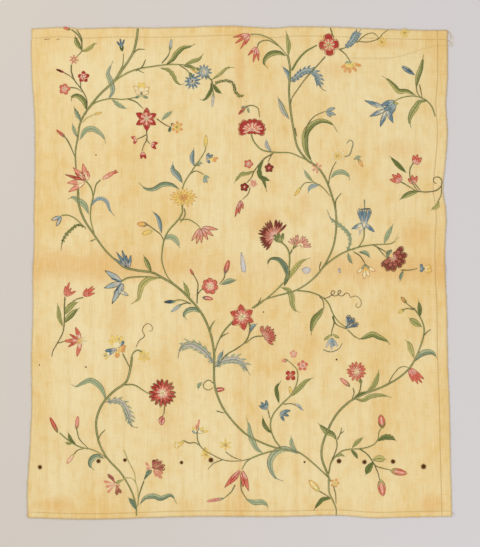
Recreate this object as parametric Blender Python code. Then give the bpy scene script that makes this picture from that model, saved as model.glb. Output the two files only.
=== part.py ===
"""Embroidered linen cloth: one flat panel lying face up.

The panel is a single piece of cloth with an uneven outline, thicker turned hems, soft ridges along
its old folds and three worn holes. The embroidery is sewn flat into it and adds no height of its own.
All sizes are in metres. +Y runs up the cloth and +Z is its face.
"""

import math
from collections import namedtuple

import bmesh
import bpy
from mathutils import Matrix, Vector

MM = 0.001

# Main sizes of the cloth.
CLOTH_WIDTH = 0.679
CLOTH_LENGTH = 0.789
CLOTH_THICKNESS = 1.0 * MM
GRID_SPACING = 20.0 * MM

# How far a hem stands above the single cloth, and how wide its sloping inner side is.
HEM_EXTRA = 0.5 * MM
HEM_SLOPE = 2.5 * MM

# The cloth bends along extra lines, at these shares of a ridge's reach from its crest. A ridge that
# ends inside the cloth sinks away over the fading length.
RIDGE_STEPS = (-1.0, -0.5, 0.0, 0.5, 1.0)
RIDGE_FADE = 25.0 * MM

LINEN_COLOUR = (0.787, 0.571, 0.246, 1.0)
LINEN_ROUGHNESS = 0.92

# The outline, in millimetres from the middle of the cloth. Along runs up the cloth for the two sides
# and from left to right for the top and bottom; out is how far the edge lies from the middle.
EdgePoint = namedtuple("EdgePoint", "along out")

LEFT_EDGE = (
    EdgePoint(-394, 338.5),
    EdgePoint(-364, 339.5),
    EdgePoint(-338, 339.0),
    EdgePoint(-287, 335.5),
    EdgePoint(-210, 332.0),
    EdgePoint(-133, 332.5),
    EdgePoint(-57, 330.0),
    EdgePoint(-5, 330.5),
    EdgePoint(46, 328.0),
    EdgePoint(97, 328.5),
    EdgePoint(148, 327.0),
    EdgePoint(250, 327.5),
    EdgePoint(302, 331.0),
    EdgePoint(353, 333.0),
    EdgePoint(392, 331.5),
)

RIGHT_EDGE = (
    EdgePoint(-391, 340.0),
    EdgePoint(-364, 339.5),
    EdgePoint(-287, 337.5),
    EdgePoint(-210, 336.0),
    EdgePoint(-133, 333.0),
    EdgePoint(-57, 332.0),
    EdgePoint(-5, 329.5),
    EdgePoint(46, 329.0),
    EdgePoint(97, 331.0),
    EdgePoint(135, 325.5),
    EdgePoint(174, 329.5),
    EdgePoint(225, 333.0),
    EdgePoint(276, 330.0),
    EdgePoint(302, 333.0),
    EdgePoint(390, 333.0),
)

TOP_EDGE = (
    EdgePoint(-333, 389.5),
    EdgePoint(-287, 392.5),
    EdgePoint(-249, 390.0),
    EdgePoint(-197, 392.0),
    EdgePoint(-121, 391.5),
    EdgePoint(-18, 394.5),
    EdgePoint(58, 391.0),
    EdgePoint(84, 393.5),
    EdgePoint(161, 392.5),
    EdgePoint(212, 390.0),
    EdgePoint(289, 388.0),
    EdgePoint(333, 388.0),
)

BOTTOM_EDGE = (
    EdgePoint(-338, 391.5),
    EdgePoint(-300, 393.5),
    EdgePoint(-249, 394.5),
    EdgePoint(-198, 394.0),
    EdgePoint(-95, 390.5),
    EdgePoint(-18, 390.0),
    EdgePoint(58, 390.5),
    EdgePoint(161, 388.5),
    EdgePoint(212, 392.5),
    EdgePoint(263, 391.5),
    EdgePoint(340, 390.0),
)

# The turned hems: which side each is on and how wide it is, in millimetres.
Hem = namedtuple("Hem", "side width")
HEMS = (
    Hem("left", 6),
    Hem("right", 16),
    Hem("top", 15),
    Hem("bottom", 9),
)

# The old folds, in millimetres. An upright fold runs up the cloth from start to end and lies at x =
# at where it starts; a level one runs across it and lies at y = at. Drift is how far it strays
# sideways by its end, rise the height of its ridge and reach the ridge's half width.
Fold = namedtuple("Fold", "name upright at drift start end rise reach")
FOLDS = (
    Fold("level fold across the middle", False, 13, -7, -400, 400, 1.6, 14),
    Fold("upright fold down the middle", True, 0, 0, -400, 400, 1.3, 12),
    Fold("slanting crease below the top right corner", False, 339, 25, 185, 328, 1.0, 11),
)

# The worn holes, in millimetres: their middle, their width and height, how far the top leans to the
# left of the bottom, and how much narrower the top is than the bottom.
WornHole = namedtuple("WornHole", "name x y width height lean narrowing")
WORN_HOLES = (
    WornHole("worn_slit", 7.5, 15.5, 12, 34, 4.5, 0.75),
    WornHole("worn_spot", 106.5, 3.5, 14, 10, 0.0, 0.0),
    WornHole("worn_nick", 160.5, 3.0, 5, 8, 1.0, 0.3),
)
HOLE_SIDES = 12
HOLE_RAGGEDNESS = 0.16
CUTTER_HEIGHT = 12.0 * MM


def clear_scene():
    for thing in list(bpy.data.objects):
        bpy.data.objects.remove(thing, do_unlink=True)


def curve_through(rows, place):
    """How far out an edge lies at a place along it, on a smooth curve through its rows."""
    last = len(rows) - 1
    after = 1
    while after < last and rows[after].along * MM < place:
        after += 1
    before = after - 1
    start, end = rows[before], rows[after]
    span = (end.along - start.along) * MM
    share = min(max((place - start.along * MM) / span, 0.0), 1.0)

    def slope(index):
        low, high = rows[max(index - 1, 0)], rows[min(index + 1, last)]
        return (high.out - low.out) / (high.along - low.along)

    squared, cubed = share**2, share**3
    return (
        (2 * cubed - 3 * squared + 1) * start.out * MM
        + (cubed - 2 * squared + share) * span * slope(before)
        + (3 * squared - 2 * cubed) * end.out * MM
        + (cubed - squared) * span * slope(after)
    )


def place_on_cloth(across, up):
    """The point of the uneven cloth for a point of its plain rectangle, both from the middle."""
    share_across = across / CLOTH_WIDTH + 0.5
    share_up = up / CLOTH_LENGTH + 0.5
    x, y = across, up
    for _ in range(3):
        bottom, top = -curve_through(BOTTOM_EDGE, x), curve_through(TOP_EDGE, x)
        y = bottom + (top - bottom) * share_up
        left, right = -curve_through(LEFT_EDGE, y), curve_through(RIGHT_EDGE, y)
        x = left + (right - left) * share_across
    return x, y


def ridge_height(fold, x, y):
    """The height that one fold gives the cloth at a point."""
    along, beside = (y, x) if fold.upright else (x, y)
    share = (along - fold.start * MM) / ((fold.end - fold.start) * MM)
    away = beside - (fold.at + fold.drift * share) * MM
    if abs(away) >= fold.reach * MM:
        return 0.0
    inside = min(along - fold.start * MM, fold.end * MM - along)
    fade = min(max(inside / RIDGE_FADE, 0.0), 1.0)
    swell = math.cos(0.5 * math.pi * away / (fold.reach * MM)) ** 2
    return fold.rise * MM * swell * fade


def cloth_lift(x, y):
    """How far the cloth is lifted off the surface: the highest of its fold ridges there."""
    return max(ridge_height(fold, x, y) for fold in FOLDS)


def hem_line(hem):
    """Where a hem's inner line lies on the plain rectangle: its axis, its side's sign and its place."""
    axis = 0 if hem.side in ("left", "right") else 1
    sign = 1 if hem.side in ("right", "top") else -1
    half = 0.5 * (CLOTH_WIDTH, CLOTH_LENGTH)[axis]
    return axis, sign, half - hem.width * MM


def hem_thickness(across, up):
    """The extra thickness that the turned hems give the cloth at a point of the plain rectangle."""
    extra = 0.0
    for hem in HEMS:
        axis, sign, inner = hem_line(hem)
        past_line = sign * (across, up)[axis] - inner
        extra = max(extra, HEM_EXTRA * min(max(past_line / HEM_SLOPE + 1.0, 0.0), 1.0))
    return extra


def press_line(panel, point, normal):
    """Adds a straight line of edges across the flat panel, where a fold or a hem bends it."""
    bmesh.ops.bisect_plane(
        panel,
        geom=panel.verts[:] + panel.edges[:] + panel.faces[:],
        dist=0.0001,
        plane_co=point,
        plane_no=normal,
    )


def press_hem(panel, hem):
    """Adds the two lines of a hem: its inner edge and the foot of its slope."""
    axis, sign, inner = hem_line(hem)
    normal = Vector((1, 0, 0)) if axis == 0 else Vector((0, 1, 0))
    for place in (inner, inner - HEM_SLOPE):
        press_line(panel, normal * sign * place, normal)


def press_fold(panel, fold):
    """Adds the lines that a fold's ridge bends along."""
    length = fold.end - fold.start
    for step in RIDGE_STEPS:
        at = (fold.at + step * fold.reach) * MM
        if fold.upright:
            point, normal = (at, fold.start * MM, 0.0), (length, -fold.drift, 0.0)
        else:
            point, normal = (fold.start * MM, at, 0.0), (-fold.drift, length, 0.0)
        press_line(panel, point, Vector(normal).normalized())


def flat_panel():
    """The plain rectangle of cloth, with extra lines along its folds and hems."""
    panel = bmesh.new()
    bmesh.ops.create_grid(
        panel,
        x_segments=round(CLOTH_WIDTH / GRID_SPACING),
        y_segments=round(CLOTH_LENGTH / GRID_SPACING),
        size=0.5,
        matrix=Matrix.Diagonal((CLOTH_WIDTH, CLOTH_LENGTH, 1.0, 1.0)),
    )
    for hem in HEMS:
        press_hem(panel, hem)
    for fold in FOLDS:
        press_fold(panel, fold)
    return panel


def thicken(panel):
    """Turns the flat panel into a closed solid and returns its upper vertices."""
    under = panel.faces[:]
    raised = bmesh.ops.extrude_face_region(panel, geom=under, use_keep_orig=True)["geom"]
    upper = [item for item in raised if isinstance(item, bmesh.types.BMVert)]
    bmesh.ops.translate(panel, verts=upper, vec=(0.0, 0.0, CLOTH_THICKNESS))
    bmesh.ops.recalc_face_normals(panel, faces=panel.faces[:])
    return set(upper)


def shape_cloth(panel, upper):
    """Moves the plain panel onto the uneven outline, over the fold ridges and out to the hems."""
    for vert in panel.verts:
        across, up, level = vert.co
        x, y = place_on_cloth(across, up)
        lift = cloth_lift(x, y)
        hem = hem_thickness(across, up) if vert in upper else 0.0
        vert.co = (x, y, level + lift + hem)


def centre_on_origin(panel):
    """Puts the middle of the cloth's outline on the origin, with its underside on the surface."""
    xs = [vert.co.x for vert in panel.verts]
    ys = [vert.co.y for vert in panel.verts]
    middle = Vector((0.5 * (min(xs) + max(xs)), 0.5 * (min(ys) + max(ys)), 0.0))
    bmesh.ops.translate(panel, verts=panel.verts[:], vec=-middle)


def principled(name, colour, roughness):
    material = bpy.data.materials.new(name)
    material.use_nodes = True
    shader = material.node_tree.nodes["Principled BSDF"]
    shader.inputs["Base Color"].default_value = colour
    shader.inputs["Roughness"].default_value = roughness
    shader.inputs["Metallic"].default_value = 0.0
    material.diffuse_color = colour
    return material


def object_from(name, mesh_data):
    """A named object in the scene made of the given mesh data."""
    mesh = bpy.data.meshes.new(name)
    mesh_data.to_mesh(mesh)
    mesh_data.free()
    made = bpy.data.objects.new(name, mesh)
    bpy.context.scene.collection.objects.link(made)
    return made


def make_cloth():
    """The cloth panel, not yet worn through."""
    panel = flat_panel()
    upper = thicken(panel)
    shape_cloth(panel, upper)
    centre_on_origin(panel)
    bmesh.ops.triangulate(panel, faces=panel.faces[:])
    cloth = object_from("embroidered_cloth", panel)
    cloth.data.materials.append(principled("linen", LINEN_COLOUR, LINEN_ROUGHNESS))
    return cloth


def make_hole_cutter(hole):
    """A ragged upright prism in the outline of one worn hole."""
    prism = bmesh.new()
    bmesh.ops.create_cone(
        prism,
        cap_ends=True,
        segments=HOLE_SIDES,
        radius1=0.5,
        radius2=0.5,
        depth=CUTTER_HEIGHT,
    )
    for vert in prism.verts:
        turn = math.atan2(vert.co.y, vert.co.x)
        ragged = 1.0 + HOLE_RAGGEDNESS * math.sin(3.0 * turn + 0.7) * math.cos(2.0 * turn)
        height = vert.co.y * ragged
        width = vert.co.x * ragged * (1.0 - hole.narrowing * (height + 0.5))
        vert.co.x = (hole.x + width * hole.width - hole.lean * (height + 0.5)) * MM
        vert.co.y = (hole.y + height * hole.height) * MM
    cutter = object_from(hole.name, prism)
    cutter.hide_render = True
    cutter.display_type = "WIRE"
    return cutter


def wear_through(cloth, hole):
    """Cuts one worn hole through the cloth."""
    cut = cloth.modifiers.new(hole.name, "BOOLEAN")
    cut.operation = "DIFFERENCE"
    cut.solver = "EXACT"
    cut.object = make_hole_cutter(hole)


def main():
    clear_scene()
    cloth = make_cloth()
    for hole in WORN_HOLES:
        wear_through(cloth, hole)


main()
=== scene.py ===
"""The embroidered linen cloth's looks: its weave, hems, stains and silk flowering vines."""

import functools
import math
from collections import namedtuple

import bmesh
import bpy
import numpy as np
from bpy.props import FloatProperty, FloatVectorProperty, PointerProperty
from bpy.types import Operator, Panel, PropertyGroup
from mathutils import Matrix, Vector, noise
from mathutils.bvhtree import BVHTree


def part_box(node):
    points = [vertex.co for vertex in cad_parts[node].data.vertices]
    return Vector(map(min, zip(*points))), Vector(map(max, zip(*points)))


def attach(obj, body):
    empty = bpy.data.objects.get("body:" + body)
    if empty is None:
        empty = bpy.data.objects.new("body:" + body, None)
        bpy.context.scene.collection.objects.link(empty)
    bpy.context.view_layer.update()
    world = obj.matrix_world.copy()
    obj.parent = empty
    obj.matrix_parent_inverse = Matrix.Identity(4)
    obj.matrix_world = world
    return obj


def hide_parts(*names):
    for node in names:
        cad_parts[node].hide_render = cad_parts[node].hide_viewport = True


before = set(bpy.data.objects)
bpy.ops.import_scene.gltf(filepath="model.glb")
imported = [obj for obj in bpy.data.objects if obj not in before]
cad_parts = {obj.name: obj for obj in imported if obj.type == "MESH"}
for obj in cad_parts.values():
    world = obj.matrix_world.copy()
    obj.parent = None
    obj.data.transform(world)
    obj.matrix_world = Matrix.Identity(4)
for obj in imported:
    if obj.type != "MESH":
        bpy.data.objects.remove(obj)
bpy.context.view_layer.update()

bl_info = {
    "name": "Embroidered linen cloth",
    "version": (1, 0, 0),
    "blender": (4, 5, 0),
    "location": "View3D > Sidebar > Embroidery",
    "description": "Makes a flat linen cloth worked in silk with trailing flowering vines",
    "category": "Object",
}

MM = 0.001
CLOTH_NODE = "embroidered_cloth"
LINEN_PIECE = "linen_cloth"
LOW, HIGH = (Vector(corner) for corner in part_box(CLOTH_NODE))

# The pattern is set out on squares, as a needleworker squares up a drawing. A place is
# (across, down) in squares, and the middle of the cloth lies at PATTERN_MIDDLE.
SQUARE = 16.0 * MM
PATTERN_MIDDLE = (23.95, 27.26)


def tone(red, green, blue):
    """The linear colour that shows on a screen as red, green, blue out of 255."""
    return tuple(((part / 255 + 0.055) / 1.055) ** 2.4 for part in (red, green, blue))


def table(kind, *rows):
    """The rows of a table, with their values named as in rows of this kind."""
    return [kind(*row) for row in rows]


# The silks of the embroidery: their names in the tables below and their faded colours.
SILKS = {
    "vine": tone(118, 123, 72),
    "stalk": tone(118, 115, 66),
    "brown": tone(124, 98, 62),
    "deep_green": tone(78, 96, 42),
    "green": tone(126, 137, 71),
    "light_green": tone(187, 183, 112),
    "straw_green": tone(208, 196, 120),
    "deep_teal": tone(86, 112, 84),
    "teal": tone(134, 153, 121),
    "light_teal": tone(185, 193, 150),
    "slate": tone(108, 121, 104),
    "navy": tone(56, 73, 78),
    "blue": tone(80, 108, 126),
    "mid_blue": tone(118, 145, 154),
    "light_blue": tone(178, 191, 184),
    "lavender": tone(206, 199, 184),
    "maroon": tone(116, 38, 22),
    "crimson": tone(188, 60, 48),
    "red": tone(206, 85, 68),
    "coral": tone(226, 120, 95),
    "salmon": tone(238, 160, 132),
    "pink": tone(246, 192, 168),
    "plum": tone(144, 64, 50),
    "dusky": tone(190, 106, 84),
    "orange": tone(238, 176, 104),
    "gold": tone(224, 184, 100),
    "yellow": tone(248, 218, 124),
    "cream": tone(252, 236, 188),
    "tan": tone(216, 178, 112),
}


# Settings


def colour_setting(name, description, colour):
    return FloatVectorProperty(
        name=name, description=description, default=colour, size=3, min=0.0, max=1.0, subtype="COLOR"
    )


def length_setting(name, description, metres):
    return FloatProperty(
        name=name, description=description, default=metres, min=0.0, unit="LENGTH", subtype="DISTANCE"
    )


def share_setting(name, description, share):
    return FloatProperty(
        name=name, description=description, default=share, min=0.0, max=1.0, subtype="FACTOR"
    )


class EMB_PG_cloth(PropertyGroup):
    """The linen and what age has done to it."""

    thickness: length_setting("Cloth thickness", "How thick the single cloth is", 0.6 * MM)
    grid: length_setting("Mesh spacing", "Distance between the sheet's points", 4.5 * MM)
    pale: colour_setting("Pale linen", "The cloth where it has yellowed least", tone(240, 222, 172))
    warm: colour_setting("Warm linen", "The cloth where it has yellowed most", tone(233, 197, 127))
    stain: colour_setting("Stain", "Old marks along folds and edges", tone(228, 176, 100))
    # The edge colour also serves as the painted shade along the crease.
    edge: colour_setting("Edge", "The worn outer edge", tone(184, 150, 92))
    rust: colour_setting("Rust", "Marks of old tacks", tone(86, 48, 6))
    thread: colour_setting("Pale threads", "Slubs and threads that stand out", tone(250, 232, 186))
    gap: colour_setting("Gaps", "The shade between the threads", tone(206, 168, 104))
    relief: length_setting("Weave relief", "How far the threads stand out", 0.12 * MM)


class EMB_PG_silk(PropertyGroup):
    """The colour of each silk."""

    __annotations__ = {
        name: colour_setting(name.replace("_", " ").capitalize(), f"The {name} silk", colour)
        for name, colour in SILKS.items()
    }


class EMB_PG_stitch(PropertyGroup):
    """The sizes of the stitches."""

    thread: length_setting("Thread width", "Width of one strand of silk", 0.95 * MM)
    row: length_setting("Row width", "Width of one row of a stem", 1.15 * MM)
    stem_stitch: length_setting("Stem stitch", "Length of one stitch of a stem", 5.0 * MM)
    satin_gap: length_setting("Satin spacing", "Distance between the stitches of a leaf", 0.85 * MM)
    plumpness: share_setting("Plumpness", "Height of a stitch to its width", 0.7)
    unevenness: share_setting("Unevenness", "How much hand stitches differ", 0.16)


class EMB_PG_stage(PropertyGroup):
    """The ground under the cloth, the lights and the camera."""

    floor: colour_setting("Floor", "The plain ground under the cloth", tone(216, 212, 213))
    camera_height: length_setting("Camera height", "How far above the cloth the camera is", 2.4)
    picture_height: length_setting("Picture height", "What the picture shows from top to bottom", 0.8752)


# Short ways to write shader nodes


# Where a Mix node has its factor, its two colours and the colour that comes out.
MIX_COLOUR_INPUTS = (0, 6, 7)
MIX_COLOUR_OUTPUT = 2


def maths(operation, reflected=False):
    """A method of Shade that adds a Math node with this operation."""

    def method(self, other=0.0):
        first, second = (other, self) if reflected else (self, other)
        return self.nodes.add("ShaderNodeMath", {"operation": operation}, {0: first, 1: second})

    return method


class Shade:
    """A shader value on which arithmetic adds the nodes that work it out."""

    def __init__(self, nodes, socket):
        self.nodes = nodes
        self.socket = socket

    __add__, __radd__ = maths("ADD"), maths("ADD", reflected=True)
    __sub__, __rsub__ = maths("SUBTRACT"), maths("SUBTRACT", reflected=True)
    __mul__, __rmul__ = maths("MULTIPLY"), maths("MULTIPLY", reflected=True)
    __truediv__ = maths("DIVIDE")
    __abs__ = maths("ABSOLUTE")
    least, most, power = maths("MINIMUM"), maths("MAXIMUM"), maths("POWER")

    def between(self, low, high):
        """0 at low and 1 at high, with a soft step from one to the other."""
        return self.nodes.add(
            "ShaderNodeMapRange",
            {"interpolation_type": "SMOOTHSTEP"},
            {"Value": self, "From Min": low, "From Max": high},
        )


class Nodes:
    """A material's node tree, and short ways to add nodes to it."""

    def __init__(self, name):
        self.material = bpy.data.materials.new(name)
        self.material.use_nodes = True
        self.tree = self.material.node_tree
        self.shader = self.tree.nodes["Principled BSDF"]
        self.place = self.output("ShaderNodeTexCoord", "Object")

    def node(self, kind, settings=None, inputs=None):
        node = self.tree.nodes.new(kind)
        for key, value in (settings or {}).items():
            setattr(node, key, value)
        for key, value in (inputs or {}).items():
            self.feed(node.inputs[key], value)
        return node

    def add(self, kind, settings=None, inputs=None, output=0):
        return Shade(self, self.node(kind, settings, inputs).outputs[output])

    def output(self, kind, output):
        return self.add(kind, output=output)

    def feed(self, socket, value):
        if isinstance(value, Shade):
            self.tree.links.new(value.socket, socket)
        else:
            socket.default_value = value

    def attribute(self, name):
        return self.add("ShaderNodeAttribute", {"attribute_name": name}, output="Fac")

    def parts(self, vector):
        split = self.node("ShaderNodeSeparateXYZ", inputs={0: vector})
        return tuple(Shade(self, socket) for socket in split.outputs)

    def noise(self, across, up, detail):
        """Cloudy noise on the cloth, with this many clouds to a metre across it and up it."""
        place = self.add(
            "ShaderNodeVectorMath", {"operation": "MULTIPLY"}, {0: self.place, 1: (across, up, 1.0)}
        )
        return self.add("ShaderNodeTexNoise", inputs={"Vector": place, "Scale": 1.0, "Detail": detail})

    def mix(self, share, first, second):
        """A mix of two colours, which is all the second one where the share is 1."""
        node = self.node("ShaderNodeMix", {"data_type": "RGBA"})
        for index, value in zip(MIX_COLOUR_INPUTS, (share, first, second), strict=True):
            self.feed(node.inputs[index], value)
        return Shade(self, node.outputs[MIX_COLOUR_OUTPUT])

    def bump(self, height, strength, distance):
        return self.add(
            "ShaderNodeBump", inputs={"Height": height, "Strength": strength, "Distance": distance}
        )

    def finish(self, **values):
        for name, value in values.items():
            self.feed(self.shader.inputs[name.replace("_", " ")], value)
        return self.material


def opaque(colour):
    return (*colour, 1.0)


def strongest(masks):
    """The highest of some masks at each place."""
    return functools.reduce(Shade.most, masks)


# The cloth


# The outline is felt for at this many places along each side, to this close, between the corners.
CORNER = 14.0 * MM
OUTLINE_PLACES = 120
OUTLINE_CLOSENESS = 0.1 * MM
# The rays that feel for a surface start this far above the ground.
RAY_START = 0.05
# A face whose normal rises by more than this looks up.
LOOKS_UP = 0.2


def on_cloth(across, down):
    """The place on the cloth, in metres, of a place on the squared pattern."""
    return (across - PATTERN_MIDDLE[0]) * SQUARE, (PATTERN_MIDDLE[1] - down) * SQUARE


def tree_of(mesh, upward_only=False):
    """A search tree of a mesh, or of those of its faces that look up."""
    points = [vert.co for vert in mesh.vertices]
    faces = [tuple(face.vertices) for face in mesh.polygons if not upward_only or face.normal.z > LOOKS_UP]
    return BVHTree.FromPolygons(points, faces)


def height_on(tree, x, y):
    """The height of a surface over a point, or None where it has a hole."""
    place = tree.ray_cast(Vector((x, y, RAY_START)), Vector((0.0, 0.0, -1.0)))[0]
    return None if place is None else place.z


def side_line(tree, axis, sign):
    """How far out the solid reaches along one side: places along it, and the reach there."""
    places = np.linspace(LOW[1 - axis] + CORNER, HIGH[1 - axis] - CORNER, OUTLINE_PLACES)
    most = max(-LOW[axis], HIGH[axis])
    reach = []
    for place in places:
        inner, outer = most - 2 * CORNER, most + 1.0 * MM
        while outer - inner > OUTLINE_CLOSENESS:
            middle = (inner + outer) / 2
            spot = (sign * middle, place) if axis == 0 else (place, sign * middle)
            if height_on(tree, *spot) is None:
                outer = middle
            else:
                inner = middle
        reach.append(inner)
    return places, np.array(reach)


# The solid is this thick away from its hems. The sheet lies where the solid's underside does.
SOLID_THICKNESS = 1.0 * MM
# How wide each hem is, and how dark its inner line shows.
HEM_WIDTHS = {"left": 6.0 * MM, "right": 16.0 * MM, "top": 15.0 * MM, "bottom": 9.0 * MM}
HEM_SHADES = {"left": 0.05, "right": 0.40, "top": 0.24, "bottom": 0.28}
# How far the edge is frayed in or out, how high the ripples are and how many there are to a metre.
FRAY = 0.45 * MM
RIPPLE_HEIGHT = 0.35 * MM
RIPPLE_SCALE = 26.0
# How many times the sheet is cut finer round a worn hole, and how near to a face's middle its
# corners are tried.
HOLE_CUTS = 3
NEAR_MIDDLE = 0.35
# How many times the sheet's points are moved to fit all four sides at once.
FITTINGS = 3


def height_over(tree, x, y):
    """The height of a surface over a point, or at its nearest point where there is none."""
    found = height_on(tree, x, y)
    return tree.find_nearest(Vector((x, y, SOLID_THICKNESS)))[0].z if found is None else found


def cloth_sides(tree):
    """The four sides of the solid's outline, each as a function of the place along it."""
    lines = {
        side: side_line(tree, axis, sign)
        for side, axis, sign in (("left", 0, -1), ("right", 0, 1), ("bottom", 1, -1), ("top", 1, 1))
    }
    return {side: (lambda place, line=line: np.interp(place, *line)) for side, line in lines.items()}


def fit_to_outline(flat, sides):
    """Moves the points of a unit square, 0 to 1 both ways, onto the cloth's uneven outline."""
    across, up = flat[:, 0], flat[:, 1]
    x, y = LOW.x + across * (HIGH.x - LOW.x), LOW.y + up * (HIGH.y - LOW.y)
    for _ in range(FITTINGS):
        bottom, top = -sides["bottom"](x), sides["top"](x)
        y = bottom + (top - bottom) * up
        left, right = -sides["left"](y), sides["right"](y)
        x = left + (right - left) * across
    return x, y


def wear_holes(sheet, tree):
    """Opens the sheet where the solid under it has been worn through."""

    def missing(face):
        middle = face.calc_center_median()
        spots = [middle] + [vert.co.lerp(middle, NEAR_MIDDLE) for vert in face.verts]
        return any(height_on(tree, spot.x, spot.y) is None for spot in spots)

    inner = [face for face in sheet.faces if not any(vert.is_boundary for vert in face.verts)]
    worn = {face for face in inner if missing(face)}
    around = worn | {near for face in worn for edge in face.edges for near in edge.link_faces}
    edges = {edge for face in around for edge in face.edges}
    bmesh.ops.subdivide_edges(sheet, edges=list(edges), cuts=HOLE_CUTS, use_grid_fill=True)
    outer = {vert for vert in sheet.verts if vert.is_boundary}
    gone = []
    for face in sheet.faces:
        middle = face.calc_center_median()
        inside = not any(vert in outer for vert in face.verts)
        if inside and height_on(tree, middle.x, middle.y) is None:
            gone.append(face)
    bmesh.ops.delete(sheet, geom=gone, context="FACES")
    rims = [vert for vert in sheet.verts if vert.is_boundary and vert not in outer]
    bmesh.ops.smooth_vert(sheet, verts=rims, factor=0.5, use_axis_x=True, use_axis_y=True)


def make_linen():
    """The sheet of linen, laid on the folds and hems of its solid."""
    settings = bpy.context.scene.emb_cloth
    solid = tree_of(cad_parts[CLOTH_NODE].data, upward_only=True)
    sides = cloth_sides(solid)
    sheet = bmesh.new()
    bmesh.ops.create_grid(
        sheet,
        x_segments=round((HIGH.x - LOW.x) / settings.grid),
        y_segments=round((HIGH.y - LOW.y) / settings.grid),
        size=0.5,
    )
    flat = np.array([vert.co[:2] for vert in sheet.verts]) + 0.5
    chance = np.random.default_rng(4)
    rim = np.array([vert.is_boundary for vert in sheet.verts])
    x, y = fit_to_outline(flat, sides)
    x[rim] += chance.uniform(-FRAY, FRAY, rim.sum())
    y[rim] += chance.uniform(-FRAY, FRAY, rim.sum())
    for vert, px, py in zip(sheet.verts, x, y, strict=True):
        wave = 0.5 + 0.5 * noise.noise(Vector((px, py, 0.3)) * RIPPLE_SCALE)
        top = height_over(solid, px, py) - SOLID_THICKNESS + settings.thickness
        vert.co = (px, py, top + RIPPLE_HEIGHT * wave)
    wear_holes(sheet, solid)
    bmesh.ops.recalc_face_normals(sheet, faces=sheet.faces[:])
    if sum(face.normal.z for face in sheet.faces) < 0:
        bmesh.ops.reverse_faces(sheet, faces=sheet.faces[:])
    mesh = bpy.data.meshes.new(LINEN_PIECE)
    sheet.to_mesh(mesh)
    sheet.free()
    linen = finished(mesh)
    measure_hems(linen.data, sides)
    thicken = linen.modifiers.new("thickness", "SOLIDIFY")
    thicken.thickness = settings.thickness
    thicken.offset = -1.0
    linen.data.materials.append(linen_material())
    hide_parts(CLOTH_NODE)


def measure_hems(mesh, sides):
    """Notes on every point how far in from each side of the cloth it lies."""
    points = np.array([vert.co for vert in mesh.vertices])
    x, y = points[:, 0], points[:, 1]
    insets = {
        "left": x + sides["left"](y),
        "right": sides["right"](y) - x,
        "bottom": y + sides["bottom"](x),
        "top": sides["top"](x) - y,
    }
    for side, inset in insets.items():
        mesh.attributes.new(f"in_from_{side}", "FLOAT", "POINT").data.foreach_set(
            "value", inset.astype(np.float32)
        )


def finished(mesh):
    """The object of the part that shows a mesh."""
    made = bpy.data.objects.new(mesh.name, mesh)
    bpy.context.scene.collection.objects.link(made)
    mesh.polygons.foreach_set("use_smooth", [True] * len(mesh.polygons))
    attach(made, "root")
    return made


# Soft stains: where they are on the pattern, how wide and high they are, in squares, and how strong.
Stain = namedtuple("Stain", "across down width height strength")
STAINS = table(
    Stain,
    (26.5, 22.5, 4.5, 4.0, 0.55),
    (41.5, 23.5, 4.0, 3.0, 0.50),
    (40.0, 15.0, 5.0, 2.5, 0.35),
    (33.5, 7.0, 5.0, 2.5, 0.30),
    (38.0, 4.5, 7.0, 1.2, 0.40),
    (5.0, 4.0, 3.5, 2.5, 0.15),
    (31.0, 34.5, 3.0, 4.0, 0.30),
    (12.0, 31.5, 2.5, 5.0, 0.30),
    (5.5, 50.5, 4.5, 2.0, 0.60),
    (24.0, 50.5, 2.0, 2.5, 0.45),
    (43.0, 50.5, 3.0, 2.5, 0.55),
    (30.5, 20.5, 2.0, 3.5, 0.30),
)

# Marks left by rusted tacks, and small brown specks: where they are and their radius, in squares.
Mark = namedtuple("Mark", "across down radius")
RUST_MARKS = table(
    Mark,
    (4.0, 46.7, 0.24),
    (9.85, 46.1, 0.24),
    (12.5, 46.0, 0.21),
    (15.4, 46.1, 0.17),
    (18.15, 46.25, 0.20),
    (21.1, 46.0, 0.28),
    (30.45, 46.2, 0.12),
    (33.9, 46.1, 0.27),
    (36.45, 46.2, 0.25),
    (39.3, 46.15, 0.25),
    (42.35, 46.65, 0.29),
    (33.65, 35.95, 0.11),
    (8.6, 36.7, 0.09),
    (3.95, 36.5, 0.08),
    (26.35, 31.2, 0.08),
    (9.6, 15.5, 0.08),
)

# Where the two old folds lie, in metres, and how the level one slants across the cloth.
LEVEL_FOLD = 9.5 * MM
LEVEL_FOLD_SLANT = -0.00875
UPRIGHT_FOLD = 0.0


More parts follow.
